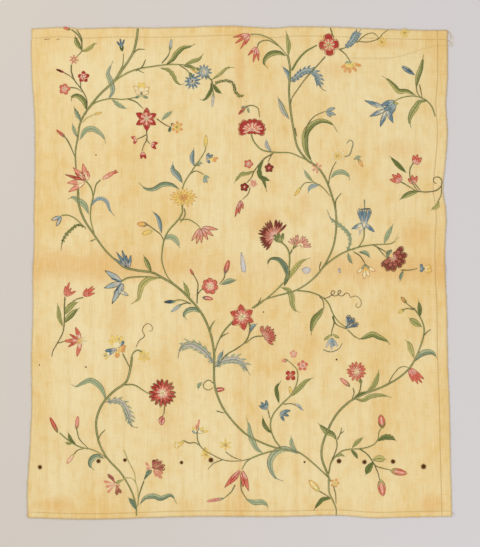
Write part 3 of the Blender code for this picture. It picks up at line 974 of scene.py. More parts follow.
BRANCHES = table(
    Stem,
    # top left
    ("vine", 1.6, ((7.2, 3.0), (7.8, 3.5), (8.15, 4.2), (8.2, 5.0))),
    ("vine", 1.4, ((7.7, 3.0), (8.15, 3.8), (8.2, 4.6), (8.15, 5.15), (7.75, 5.6))),
    ("stalk", 1.6, ((7.15, 6.5), (7.15, 7.2), (7.5, 8.1), (8.2, 9.0), (8.7, 10.1), (8.6, 11.4))),
    ("stalk", 1.2, ((6.45, 7.3), (7.0, 7.6), (7.4, 8.0))),
    ("stalk", 1.2, ((8.05, 8.25), (8.1, 8.9))),
    ("stalk", 1.2, ((7.05, 8.75), (7.7, 8.85), (8.2, 9.2))),
    ("stalk", 1.8, ((11.4, 8.1), (11.9, 7.3), (12.3, 6.4), (12.35, 5.4))),
    ("stalk", 1.4, ((13.4, 5.3), (13.8, 4.95), (14.45, 4.95))),
    ("vine", 2.2, ((11.4, 8.2), (12.2, 7.6), (13.5, 7.0), (15.0, 6.7), (17.2, 6.45), (19.0, 6.6),
        (19.7, 6.9))),
    ("stalk", 1.6, ((13.6, 7.05), (14.2, 6.7), (14.55, 6.0))),
    ("stalk", 1.2, ((13.8, 7.0), (14.35, 7.3))),
    ("vine", 2.0, ((8.7, 11.1), (9.5, 10.3), (10.9, 9.9), (12.3, 9.95), (13.6, 9.75))),
    ("vine", 1.5, ((12.8, 9.9), (13.6, 10.2), (14.3, 10.85))),
    ("stalk", 1.4, ((14.65, 13.1), (14.7, 13.9), (14.4, 14.5), (14.2, 15.1))),
    ("stalk", 1.2, ((14.6, 13.5), (14.0, 13.8), (13.7, 13.9))),
    ("stalk", 1.2, ((14.6, 13.9), (15.0, 14.4))),
    ("brown", 1.4, ((15.7, 11.9), (16.4, 12.4), (17.0, 12.7))),
    ("straw_green", 1.3, ((8.3, 12.2), (8.7, 11.8), (9.7, 11.35))),
    ("vine", 1.6, ((6.6, 13.8), (7.0, 14.5), (7.45, 15.6))),
    ("stalk", 1.5, ((16.2, 6.3), (16.8, 5.6), (17.0, 5.0))),
    ("stalk", 1.4, ((18.0, 6.55), (18.6, 6.95), (19.0, 7.4))),
    ("vine", 1.6, ((20.9, 7.8), (21.2, 8.1), (21.2, 8.6), (21.35, 9.3))),
    ("vine", 1.6, ((20.9, 7.8), (20.3, 7.5))),
    # left, below the lily
    ("vine", 2.2, ((8.6, 18.1), (9.1, 18.8), (9.3, 19.7), (9.1, 20.6), (9.05, 21.9), (9.4, 23.3))),
    ("vine", 1.6, ((10.05, 18.0), (9.6, 18.5), (9.4, 19.5))),
    ("vine", 1.8, ((6.2, 21.55), (6.9, 21.55), (7.7, 22.0), (8.6, 22.9))),
    ("stalk", 1.3, ((9.1, 24.1), (9.6, 23.9))),
    ("vine", 2.4, ((12.2, 28.1), (12.8, 27.8), (13.8, 27.7), (15.0, 27.7), (16.3, 27.85))),
    # upper middle
    ("vine", 2.4, ((18.2, 20.5), (18.2, 21.3), (17.7, 22.1), (16.9, 23.0), (16.4, 24.0), (16.2, 25.2),
        (16.2, 26.2), (16.7, 27.6), (17.5, 28.5))),
    ("stalk", 1.4, ((18.45, 20.9), (18.5, 21.5), (18.1, 22.2))),
    ("vine", 1.8, ((18.0, 22.0), (18.8, 21.95), (19.5, 22.3), (20.0, 22.75))),
    ("vine", 1.8, ((18.25, 18.9), (18.5, 18.2), (19.2, 17.1), (20.0, 15.95), (20.5, 15.1), (20.6, 14.6))),
    ("stalk", 1.2, ((19.0, 17.4), (19.6, 17.1), (20.4, 17.45))),
    ("stalk", 1.2, ((19.5, 16.5), (20.0, 16.6))),
    ("stalk", 1.4, ((14.8, 22.5), (15.5, 23.0), (16.1, 23.5), (16.35, 24.1))),
    # top middle
    ("vine", 1.9, ((25.1, 3.45), (26.0, 3.5), (27.2, 4.0), (28.2, 4.95), (28.8, 5.7))),
    ("vine", 1.4, ((25.75, 4.65), (25.9, 4.3), (26.4, 4.05), (27.0, 4.1), (27.8, 4.6))),
    ("green", 3.0, ((29.2, 7.0), (29.8, 6.0), (30.6, 5.15), (31.65, 4.55))),
    ("stalk", 1.4, ((32.5, 5.7), (31.6, 6.7), (30.6, 7.8), (29.8, 8.9), (29.2, 9.8), (29.05, 10.5))),
    ("stalk", 1.3, ((29.5, 12.8), (29.65, 13.6))),
    ("stalk", 1.4, ((30.45, 13.7), (30.75, 12.5), (31.5, 11.6), (32.5, 11.15))),
    ("stalk", 1.4, ((24.3, 11.2), (24.6, 10.7), (25.2, 10.55), (25.8, 10.85), (25.95, 11.7))),
    ("vine", 2.2, ((25.1, 13.4), (25.4, 14.2), (26.2, 15.0), (27.5, 15.25), (29.0, 15.3), (30.2, 15.8),
        (31.4, 16.4))),
    ("stalk", 1.5, ((27.3, 15.35), (26.4, 15.9), (25.5, 17.0), (25.1, 17.8), (24.7, 18.25))),
    ("stalk", 1.2, ((27.2, 15.4), (26.8, 16.2))),
    ("stalk", 1.2, ((25.0, 18.8), (24.8, 19.4), (24.3, 19.9))),
    # carnations
    ("vine", 2.6, ((28.1, 24.2), (28.7, 24.8), (28.95, 25.7), (28.85, 27.2), (28.6, 28.3))),
    ("vine", 1.6, ((29.2, 25.0), (28.95, 25.5))),
    ("vine", 1.6, ((26.8, 26.3), (27.1, 25.85), (27.8, 25.9), (28.4, 26.6), (28.6, 27.6))),
    ("vine", 2.0, ((28.3, 28.3), (27.4, 29.2), (26.2, 30.2), (25.4, 30.8))),
    # top right
    ("vine", 1.6, ((33.05, 2.85), (33.3, 3.7))),
    ("stalk", 1.4, ((33.9, 4.9), (34.5, 5.4), (35.0, 6.1))),
    ("vine", 1.4, ((33.95, 4.95), (34.6, 4.75))),
    ("stalk", 1.0, ((35.7, 4.25), (36.4, 3.6), (37.2, 3.3), (37.7, 3.6), (37.85, 3.9))),
    ("stalk", 1.0, ((35.7, 4.15), (36.8, 4.2), (37.8, 3.9), (38.3, 3.35), (38.8, 3.0))),
    ("vine", 2.0, ((43.5, 11.6), (43.2, 10.7), (42.5, 9.95), (41.4, 9.6), (40.2, 9.75), (39.3, 10.2))),
    ("stalk", 1.3, ((41.65, 8.7), (41.7, 9.2), (42.0, 9.7))),
    ("stalk", 1.3, ((41.95, 8.5), (42.1, 9.2), (42.2, 9.8))),
    ("vine", 1.5, ((41.3, 16.3), (41.0, 16.9), (41.0, 17.7), (41.4, 18.6), (41.9, 19.2))),
    ("vine", 1.5, ((40.1, 18.2), (40.8, 18.6), (41.6, 19.1))),
    ("stalk", 1.3, ((41.5, 18.4), (42.0, 19.0))),
    ("stalk", 1.5, ((41.6, 19.1), (42.6, 19.2), (43.6, 19.05), (44.1, 18.6), (44.15, 18.0), (43.8, 17.7),
        (43.4, 17.8), (43.35, 18.2), (43.6, 18.35))),
    ("stalk", 1.4, ((44.15, 18.6), (44.1, 19.5), (43.8, 20.1))),
    # right vine and its twigs
    ("vine", 1.8, ((30.8, 17.7), (31.4, 18.25), (32.2, 18.7), (33.0, 19.6))),
    ("stalk", 1.1, ((31.2, 18.25), (30.5, 18.3), (30.0, 18.9))),
    ("stalk", 1.3, ((32.85, 18.4), (33.0, 17.5), (33.3, 16.7), (33.6, 16.2))),
    ("slate", 1.1, ((34.5, 15.65), (34.95, 15.5), (35.2, 14.8), (35.3, 14.3), (35.0, 14.0), (34.7, 14.3))),
    ("stalk", 1.4, ((33.55, 20.7), (33.6, 20.0), (34.1, 19.35))),
    ("slate", 1.2, ((36.45, 20.0), (36.45, 20.9))),
    ("vine", 1.8, ((36.4, 22.9), (36.35, 23.8), (35.9, 24.6), (35.3, 25.0))),
    ("vine", 2.4, ((32.0, 27.1), (32.8, 26.3), (34.2, 25.35), (35.8, 24.75), (37.2, 24.5), (38.9, 24.4),
        (39.4, 24.2))),
    ("vine", 1.5, ((37.3, 24.5), (38.1, 24.9), (38.9, 25.4))),
    ("stalk", 1.3, ((37.7, 24.7), (38.2, 25.3), (38.7, 25.85))),
    ("stalk", 1.5, ((35.4, 25.2), (36.0, 25.6), (36.4, 26.2), (36.6, 26.7))),
    ("stalk", 1.3, ((40.1, 27.0), (41.0, 27.0), (41.7, 26.85))),
    ("stalk", 1.3, ((32.1, 26.2), (31.95, 26.7), (32.0, 27.2))),
    # middle
    ("stalk", 1.7, ((19.7, 30.3), (19.75, 29.2), (19.8, 28.4), (19.6, 27.9), (19.3, 27.4))),
    ("stalk", 1.5, ((19.7, 29.5), (20.1, 29.0), (20.4, 28.8))),
    ("stalk", 1.3, ((22.5, 27.3), (22.4, 27.8), (21.95, 28.4))),
    ("vine", 1.8, ((17.4, 30.1), (18.1, 30.0), (19.0, 30.3))),
    ("stalk", 1.3, ((18.0, 30.5), (18.6, 30.3), (19.1, 30.4))),
    ("vine", 2.6, ((21.0, 33.3), (21.1, 32.7), (21.45, 32.1))),
    ("stalk", 1.4, ((22.0, 33.8), (22.4, 33.5), (22.85, 33.3))),
    ("stalk", 1.4, ((25.7, 30.6), (26.1, 29.8))),
    ("vine", 1.7, ((24.9, 32.2), (25.0, 33.0), (24.6, 34.1), (23.6, 34.9), (22.6, 35.5), (21.7, 36.6))),
    ("vine", 1.5, ((26.3, 33.6), (25.4, 33.7), (24.6, 34.3))),
    ("stalk", 1.1, ((21.3, 38.3), (20.9, 38.0), (20.4, 38.3), (20.4, 38.8), (20.9, 39.0), (21.3, 38.75))),
    ("vine", 1.5, ((21.7, 41.1), (22.4, 41.3))),
    # blue bells on the right
    ("vine", 2.2, ((29.6, 29.05), (30.9, 29.2), (32.0, 29.6), (32.8, 30.3), (33.2, 31.2), (33.7, 32.0),
        (34.6, 32.8))),
    ("vine", 1.4, ((33.3, 31.6), (33.6, 32.4), (34.6, 32.9))),
    ("stalk", 1.4, ((31.95, 29.6), (32.3, 30.1), (32.4, 30.8))),
    ("slate", 0.9, ((32.35, 34.95), (32.8, 35.15), (33.3, 35.15), (33.9, 34.85), (34.2, 34.35))),
    ("stalk", 1.4, ((33.25, 31.7), (33.4, 32.3), (33.2, 33.0), (33.15, 33.6))),
    ("vine", 1.5, ((34.8, 33.0), (35.4, 33.6), (35.95, 33.9))),
    # left, lower
    ("stalk", 1.7, ((6.5, 29.7), (6.45, 30.8), (6.45, 32.0), (6.3, 33.2), (5.8, 34.2), (5.3, 35.1),
        (5.2, 35.6))),
    ("stalk", 1.3, ((8.3, 29.75), (7.6, 29.95), (6.85, 30.5))),
    ("stalk", 1.3, ((5.8, 34.3), (6.4, 34.15))),
    ("vine", 1.6, ((12.3, 35.4), (12.7, 36.2), (13.0, 36.8))),
    ("vine", 2.2, ((14.2, 35.15), (13.7, 35.0), (13.25, 35.4), (13.05, 36.2))),
    ("vine", 2.2, ((12.3, 38.5), (13.4, 38.5), (14.5, 39.15), (15.1, 39.5))),
    ("stalk", 1.3, ((16.45, 40.7), (16.4, 41.3), (16.2, 41.7))),
    ("vine", 1.9, ((6.0, 43.3), (6.8, 44.0), (8.0, 44.7), (9.2, 44.95), (10.1, 45.4), (10.6, 45.8))),
    ("stalk", 1.3, ((7.7, 43.0), (7.95, 43.9), (8.8, 44.8))),
    ("stalk", 1.2, ((7.4, 45.4), (7.8, 45.0), (8.4, 44.85))),
    ("stalk", 1.4, ((9.8, 44.0), (10.1, 43.4), (10.5, 43.0))),
    ("straw_green", 1.3, ((11.7, 48.3), (12.6, 47.8), (13.3, 47.9), (13.75, 48.8), (13.8, 50.0))),
    ("vine", 1.6, ((14.4, 48.1), (14.1, 48.9), (13.85, 49.8), (13.8, 50.6))),
    ("light_green", 1.2, ((12.4, 45.0), (12.8, 46.0), (13.4, 47.2), (13.6, 48.3))),
    # bottom middle
    ("stalk", 1.2, ((19.7, 43.2), (19.8, 44.1), (20.3, 44.9), (21.3, 45.5), (22.6, 46.05), (24.2, 46.05),
        (25.1, 45.8))),
    ("stalk", 1.3, ((18.4, 44.05), (18.9, 44.3), (19.5, 44.25), (20.0, 44.6))),
    ("stalk", 1.1, ((22.6, 45.2), (23.3, 45.7), (24.1, 45.95))),
    ("stalk", 1.1, ((22.2, 46.0), (21.4, 46.3), (20.8, 46.9))),
    ("vine", 2.4, ((28.1, 44.95), (26.8, 45.2), (25.6, 45.6), (24.7, 46.1), (24.2, 46.9))),
    ("vine", 1.5, ((23.5, 48.5), (23.1, 49.2), (22.4, 49.8))),
    ("stalk", 1.4, ((24.1, 48.0), (24.15, 49.0), (24.7, 49.95))),
    ("vine", 2.2, ((28.1, 44.8), (27.4, 43.8), (27.05, 42.6), (27.3, 41.5), (28.1, 40.5), (29.1, 39.5),
        (29.7, 38.3), (29.75, 37.1), (29.3, 36.5), (28.8, 36.05))),
    ("stalk", 1.3, ((26.8, 41.0), (27.0, 41.9))),
    ("stalk", 1.2, ((28.4, 40.4), (29.3, 40.4), (30.3, 41.0))),
    # bottom right
    ("stalk", 1.3, ((33.35, 48.6), (33.55, 49.4), (33.6, 50.3))),
    ("stalk", 1.3, ((32.0, 49.15), (32.6, 49.5), (33.15, 49.9))),
    ("stalk", 1.4, ((33.65, 44.0), (33.7, 44.6), (33.5, 45.3), (33.1, 46.2), (32.8, 47.4))),
    ("stalk", 1.4, ((33.75, 43.9), (34.05, 43.3), (34.15, 42.8))),
    ("stalk", 1.0, ((34.0, 43.4), (34.4, 43.1))),
    ("vine", 2.0, ((32.9, 47.3), (33.1, 46.3), (33.7, 45.5), (34.5, 45.0), (36.2, 44.85), (37.3, 44.5),
        (37.8, 43.9), (37.9, 43.2), (38.25, 42.7))),
    ("vine", 1.6, ((36.0, 44.9), (36.8, 45.5), (37.5, 46.5), (38.2, 46.8), (39.1, 47.0))),
    ("stalk", 1.4, ((37.5, 46.6), (37.8, 47.3), (37.95, 48.0))),
    ("stalk", 1.5, ((36.1, 38.3), (36.0, 39.0), (35.7, 39.6))),
    ("stalk", 1.3, ((35.3, 38.8), (35.4, 39.3), (35.2, 39.9))),
    ("stalk", 1.1, ((38.9, 38.2), (39.3, 37.5), (39.9, 36.8), (40.5, 36.65), (40.9, 36.8))),
    ("stalk", 1.3, ((41.7, 31.2), (41.1, 30.7), (40.6, 30.3))),
    ("stalk", 1.3, ((41.3, 30.95), (40.8, 30.85), (40.4, 30.9))),
    ("stalk", 1.3, ((42.35, 33.6), (42.7, 33.2), (43.05, 32.95))),
)

TENDRILS = table(
    Stem,
    ("brown", 0.9, ((32.0, 29.75), (32.6, 29.8), (33.2, 29.5), (33.5, 29.2), (33.25, 29.05), (33.1, 29.4),
        (33.5, 29.6), (33.9, 29.4), (34.1, 29.1), (33.85, 29.05), (33.8, 29.45), (34.2, 29.6), (34.6, 29.3),
        (34.9, 29.4), (35.05, 29.75), (35.4, 29.6), (35.8, 29.7), (36.1, 30.1), (36.1, 30.5),
        (35.85, 30.75), (35.55, 30.6), (35.7, 30.35))),
    ("brown", 0.8, ((13.6, 34.7), (13.9, 34.1), (14.45, 33.6), (14.25, 33.1), (14.4, 32.6), (14.8, 32.35),
        (15.2, 32.6), (15.2, 33.05), (14.9, 33.1))),
)


# The dark and the pale silks that many leaves share.
TEALS = ("teal", "light_teal")
GREENS = ("green", "light_green")
DEEP_GREENS = ("deep_green", "green")
MIXED_GREENS = ("deep_green", "light_green")
DEEP_TEALS = ("deep_teal", "light_teal")
STRAW_GREENS = ("green", "straw_green")
SLATES = ("slate", "light_blue")
LAVENDERS = ("slate", "lavender")

# A leaf: its dark and pale silks, its width in millimetres, its midrib from base to tip, in squares,
# and how many teeth its edge has.
Leaf = namedtuple("Leaf", "silks width path teeth", defaults=(0,))

LEAVES = table(
    Leaf,
    # top left
    (MIXED_GREENS, 7.0, ((8.2, 5.05), (7.75, 4.4), (7.6, 4.0), (7.5, 3.5))),
    (STRAW_GREENS, 5.5, ((8.15, 5.15), (8.6, 5.0), (9.1, 4.7), (9.45, 4.35), (9.7, 4.4))),
    (MIXED_GREENS, 8.0, ((8.65, 11.0), (8.35, 10.1), (7.75, 9.6), (7.2, 9.7), (7.15, 10.1))),
    (("mid_blue", "light_teal"), 8.0, ((10.85, 9.9), (11.25, 9.1), (11.05, 8.1), (10.8, 7.3), (11.3, 6.1))),
    (TEALS, 7.5, ((11.2, 9.95), (11.9, 10.5), (12.7, 10.9)), 5),
    (TEALS, 6.0, ((16.2, 12.0), (16.7, 11.5), (17.3, 11.1))),
    (DEEP_TEALS, 7.0, ((8.15, 12.2), (7.7, 11.4), (7.4, 10.7)), 4),
    (TEALS, 5.0, ((7.7, 13.7), (7.4, 13.0), (7.25, 12.3))),
    (TEALS, 8.5, ((8.0, 14.0), (8.5, 13.1), (9.3, 12.9), (10.1, 13.4), (10.45, 13.9), (10.55, 14.35))),
    (MIXED_GREENS, 7.5, ((16.6, 6.45), (17.2, 6.0), (17.7, 5.3), (18.3, 4.8), (19.0, 4.65), (19.5, 4.4))),
    (GREENS, 6.0, ((18.5, 6.45), (19.2, 6.15), (19.9, 5.9), (20.3, 5.4))),
    (GREENS, 7.5, ((16.0, 6.8), (16.8, 7.0), (17.3, 7.5), (17.6, 8.1), (18.0, 8.45), (18.4, 8.4)), 6),
    (("gold", "yellow"), 4.0, ((19.0, 6.8), (19.4, 7.05), (19.75, 7.35))),
    (MIXED_GREENS, 5.0, ((18.4, 6.6), (19.0, 6.65), (19.4, 6.95), (19.55, 7.3))),
    (STRAW_GREENS, 4.5, ((21.2, 7.95), (22.0, 7.4), (22.7, 6.8), (23.4, 6.75))),
    (DEEP_GREENS, 5.5, ((21.1, 8.3), (21.15, 8.9), (20.8, 9.6), (20.4, 10.0), (20.0, 9.95))),
    (DEEP_GREENS, 6.0, ((21.3, 8.4), (21.7, 9.0), (22.2, 9.4))),
    # left
    (TEALS, 9.0, ((8.85, 21.4), (8.5, 20.6), (7.9, 20.1), (7.3, 19.75), (6.8, 19.9))),
    (("mid_blue", "light_blue"), 5.5, ((9.15, 20.6), (9.5, 20.05), (10.1, 19.85), (10.7, 20.2),
        (11.0, 21.0), (11.45, 21.6))),
    (MIXED_GREENS, 7.0, ((15.15, 27.2), (14.75, 26.4), (14.35, 25.5))),
    (STRAW_GREENS, 9.0, ((15.9, 27.8), (15.0, 27.9), (14.3, 28.4), (14.0, 29.2), (13.85, 29.9),
        (13.1, 30.4))),
    # upper middle
    (TEALS, 9.0, ((16.3, 23.9), (17.0, 23.7), (17.6, 24.0), (18.0, 24.8))),
    (DEEP_TEALS, 7.0, ((17.9, 18.9), (17.2, 18.5), (16.3, 18.45), (15.4, 18.9), (14.6, 18.9),
        (13.9, 18.3))),
    (("deep_teal", "light_blue"), 9.0, ((18.25, 18.3), (17.8, 17.6), (17.3, 17.0), (17.3, 16.2))),
    (SLATES, 6.5, ((19.4, 16.6), (19.2, 15.8), (19.4, 14.8))),
    (TEALS, 5.0, ((19.45, 16.5), (19.95, 16.3), (20.3, 16.35))),
    (SLATES, 6.0, ((16.15, 23.3), (15.95, 22.2), (15.7, 21.6), (15.2, 21.1))),
    # top middle
    (GREENS, 6.5, ((28.8, 5.6), (28.85, 4.6), (28.75, 3.9), (28.6, 3.1))),
    (MIXED_GREENS, 8.0, ((28.6, 5.6), (27.9, 5.3), (27.1, 5.4), (26.55, 5.85), (26.4, 6.35), (26.75, 6.8))),
    (SLATES, 6.0, ((28.95, 8.2), (28.8, 7.4), (28.2, 6.6))),
    (LAVENDERS, 8.0, ((28.9, 11.9), (28.4, 11.2), (28.05, 10.4), (27.75, 9.65))),
    (MIXED_GREENS, 10.0, ((31.2, 16.2), (30.7, 15.3), (30.5, 14.3), (30.6, 13.3), (31.2, 12.5),
        (32.0, 12.1), (32.8, 12.2), (33.4, 12.6), (33.7, 13.2))),
    (("mid_blue", "lavender"), 6.0, ((27.1, 15.15), (26.7, 14.6), (26.6, 13.9))),
    (GREENS, 7.0, ((25.4, 17.1), (24.8, 17.35), (24.1, 17.5), (23.4, 18.3)), 3),
    (DEEP_GREENS, 8.0, ((26.4, 15.8), (26.0, 16.7), (26.0, 17.5), (26.4, 18.2), (26.7, 19.2)), 3),
    (DEEP_GREENS, 5.0, ((26.1, 17.6), (26.6, 17.9), (27.0, 18.1))),
    # under the carnations
    (("deep_teal", "teal"), 8.5, ((28.5, 28.4), (28.75, 27.5), (28.5, 26.7), (28.0, 26.05), (27.4, 25.85),
        (26.85, 26.0), (26.75, 26.4))),
    (STRAW_GREENS, 7.5, ((28.7, 28.1), (29.1, 27.4), (29.6, 26.7), (30.2, 26.1), (31.0, 25.8))),
    (DEEP_GREENS, 6.0, ((28.4, 28.6), (28.7, 27.8), (29.0, 27.1))),
    # top right
    (MIXED_GREENS, 7.5, ((41.6, 8.8), (41.75, 7.8), (42.1, 6.7), (42.35, 5.5))),
    (("deep_green", "straw_green"), 7.5, ((41.5, 9.5), (40.7, 9.15), (39.9, 9.1), (39.3, 8.5), (38.8, 8.0),
        (38.2, 7.6))),
    (("deep_teal", "light_green"), 9.0, ((42.7, 10.1), (42.0, 10.2), (41.6, 10.7), (41.2, 11.3),
        (40.95, 12.0), (41.1, 12.8))),
    (DEEP_GREENS, 7.0, ((40.6, 17.25), (40.1, 16.8), (39.5, 16.2), (38.95, 15.6))),
    (MIXED_GREENS, 7.5, ((41.9, 19.15), (41.2, 19.3), (40.5, 19.6), (39.95, 20.0))),
    (STRAW_GREENS, 8.0, ((43.85, 20.0), (43.7, 20.6), (43.1, 21.0)), 4),
    # right vine
    (TEALS, 5.5, ((31.25, 18.15), (30.75, 17.6), (30.35, 16.9))),
    (("mid_blue", "light_blue"), 6.5, ((32.0, 18.45), (31.1, 18.7), (30.8, 19.3))),
    (TEALS, 5.0, ((35.4, 15.95), (35.8, 15.7), (36.1, 15.7))),
    (TEALS, 7.5, ((33.1, 17.8), (33.5, 17.35), (34.2, 17.2), (34.8, 17.5), (34.95, 18.0))),
    (TEALS, 7.0, ((38.4, 24.35), (38.7, 23.6), (39.0, 23.0), (39.3, 22.4))),
    (DEEP_TEALS, 6.0, ((35.9, 25.2), (36.6, 25.3), (37.0, 25.8))),
    (DEEP_TEALS, 5.0, ((34.8, 25.3), (35.0, 26.0), (35.25, 26.4))),
    (DEEP_TEALS, 5.0, ((40.3, 27.1), (40.1, 27.6), (40.0, 28.1))),
    # middle
    (GREENS, 8.0, ((19.0, 30.1), (18.8, 29.5), (18.6, 28.8), (18.3, 28.1)), 5),
    (("slate", "light_teal"), 7.5, ((22.1, 28.45), (22.9, 28.1), (23.7, 28.0))),
    (DEEP_TEALS, 7.5, ((20.1, 31.3), (19.5, 30.95), (18.8, 31.05), (18.4, 31.5), (18.65, 31.95))),
    (GREENS, 9.0, ((28.1, 28.75), (28.8, 29.0), (29.15, 29.6), (29.25, 30.4), (29.5, 31.0), (30.0, 31.25))),
    (SLATES, 6.5, ((24.95, 33.3), (25.2, 32.7), (25.75, 32.35))),
    (SLATES, 6.0, ((21.8, 36.3), (22.0, 35.7), (22.35, 35.0))),
    (TEALS, 5.0, ((19.8, 38.9), (19.9, 38.5), (20.2, 38.2))),
    (MIXED_GREENS, 10.0, ((32.4, 30.7), (32.0, 31.3), (31.5, 31.9), (31.2, 32.7), (31.1, 33.5))),
    (MIXED_GREENS, 8.5, ((35.9, 33.9), (36.3, 33.8), (37.2, 33.45), (38.0, 33.75), (38.7, 34.1),
        (39.0, 34.5))),
    # left, lower
    (GREENS, 6.5, ((6.25, 32.6), (5.95, 31.8), (5.85, 31.0), (5.75, 30.3))),
    (GREENS, 9.0, ((6.45, 31.5), (6.8, 30.9), (7.3, 30.4), (7.9, 30.2))),
    (MIXED_GREENS, 8.5, ((6.4, 32.3), (7.0, 31.6), (7.5, 31.1), (7.95, 30.8))),
    (TEALS, 8.5, ((10.55, 40.0), (10.4, 39.4), (10.1, 38.8), (9.6, 38.3), (9.0, 38.05), (8.3, 38.3),
        (7.6, 38.65), (7.1, 38.4))),
    (DEEP_GREENS, 5.5, ((7.55, 44.4), (7.1, 44.0), (6.8, 43.2))),
    (GREENS, 4.0, ((7.2, 44.35), (6.8, 44.35), (6.5, 44.2))),
    (DEEP_TEALS, 8.0, ((10.4, 45.85), (9.8, 45.6), (9.2, 45.9), (9.0, 46.5), (9.4, 47.0))),
    (("deep_teal", "teal"), 7.5, ((13.65, 51.0), (13.3, 50.3), (12.8, 49.7))),
    (DEEP_TEALS, 8.0, ((14.0, 50.4), (14.5, 49.8), (15.3, 49.6), (16.1, 49.8), (17.0, 49.5), (17.4, 49.8),
        (17.65, 50.35))),
    # bottom middle
    (TEALS, 8.5, ((24.6, 49.9), (25.4, 50.2), (26.2, 50.2), (26.7, 50.5), (26.8, 50.9))),
    (TEALS, 8.5, ((26.3, 45.3), (25.7, 44.9), (25.3, 44.2), (25.0, 43.4), (24.9, 42.6), (24.65, 41.8))),
    (DEEP_GREENS, 6.0, ((27.15, 43.3), (26.8, 43.0), (26.4, 42.4), (26.25, 41.6))),
    (DEEP_GREENS, 6.0, ((27.9, 40.3), (27.7, 39.4), (27.65, 38.7), (28.1, 38.1))),
    (GREENS, 7.5, ((29.2, 39.6), (30.0, 38.7), (30.6, 38.1), (31.35, 37.75))),
    (("blue", "light_teal"), 10.0, ((29.8, 45.35), (28.7, 44.9), (27.8, 45.1), (27.2, 45.7), (27.0, 46.4),
        (27.2, 47.2), (27.6, 47.8), (28.3, 48.1))),
    (TEALS, 6.5, ((29.7, 45.1), (29.2, 44.5), (29.1, 43.55))),
    # bottom right
    (DEEP_GREENS, 6.5, ((33.2, 49.8), (32.4, 49.9), (32.0, 50.2), (31.35, 51.0))),
    (MIXED_GREENS, 9.0, ((33.65, 44.0), (33.3, 43.5), (32.6, 43.1), (31.8, 42.3))),
    (DEEP_GREENS, 10.5, ((37.7, 44.1), (38.4, 43.75), (39.1, 43.75), (39.65, 44.1)), 6),
    (GREENS, 5.0, ((33.4, 45.7), (34.0, 45.45), (34.5, 45.65))),
    (GREENS, 6.0, ((35.2, 44.8), (35.7, 44.2), (36.35, 43.7))),
    (DEEP_GREENS, 5.5, ((35.1, 44.95), (35.5, 45.4), (35.8, 45.9))),
    (STRAW_GREENS, 11.0, ((37.2, 45.95), (37.9, 45.85), (38.6, 45.95))),
    (DEEP_GREENS, 10.0, ((37.35, 46.15), (36.9, 46.8), (36.55, 47.5))),
    (GREENS, 7.5, ((36.7, 39.1), (37.3, 38.6), (37.7, 37.8), (37.9, 37.0))),
    (DEEP_GREENS, 5.5, ((35.3, 39.9), (36.0, 39.45), (37.0, 39.1))),
    (GREENS, 7.0, ((35.5, 39.9), (36.3, 40.0), (37.0, 39.65), (37.9, 39.5), (38.7, 39.6), (39.15, 39.75))),
    (DEEP_TEALS, 9.0, ((41.5, 36.1), (42.0, 35.5), (42.7, 35.2), (43.3, 35.3), (43.7, 35.85))),
    (STRAW_GREENS, 8.5, ((41.4, 35.8), (41.1, 35.0), (40.9, 34.4), (40.55, 34.0))),
    (DEEP_GREENS, 6.5, ((42.0, 31.7), (41.95, 30.8), (41.85, 30.0))),
    (GREENS, 10.0, ((42.2, 32.7), (41.7, 32.4), (41.15, 32.0), (40.85, 31.75))),
)

# A feathery leaf: its dark and pale silks, its width in millimetres, how many pairs of barbs it
# has, and its midrib from base to tip, in squares.
Feather = namedtuple("Feather", "silks width barbs path")

FEATHERS = table(
    Feather,
    (SLATES, 17.0, 11, ((29.0, 8.2), (29.6, 7.8), (30.2, 7.3), (30.8, 7.1), (31.35, 7.25), (31.75, 7.75),
        (31.95, 8.4), (32.2, 8.9), (32.6, 9.1))),
    (SLATES, 14.0, 8, ((34.5, 4.8), (35.1, 4.3), (35.6, 3.6), (36.1, 2.95))),
    (TEALS, 9.0, 9, ((34.7, 25.1), (35.0, 24.3), (34.9, 23.5), (34.4, 22.9), (33.7, 22.3), (33.1, 21.9),
        (32.7, 21.0))),
    (LAVENDERS, 19.0, 7, ((21.35, 36.4), (20.8, 35.5), (20.3, 35.0), (19.7, 34.6), (19.1, 34.4),
        (18.4, 34.55), (17.95, 35.1), (17.8, 35.8))),
    (LAVENDERS, 19.0, 7, ((21.5, 36.7), (22.2, 36.2), (22.9, 36.0), (23.7, 36.0), (24.3, 36.4),
        (24.7, 37.0), (25.0, 37.5))),
    (LAVENDERS, 17.0, 8, ((10.6, 40.2), (11.2, 40.1), (11.8, 40.1), (12.3, 40.4), (12.7, 41.1),
        (13.0, 42.0), (13.2, 42.6), (13.8, 42.75))),
    (MIXED_GREENS, 7.0, 8, ((8.5, 22.7), (7.8, 22.5), (7.2, 22.9), (6.6, 23.5), (6.25, 24.2), (6.1, 25.0))),
)

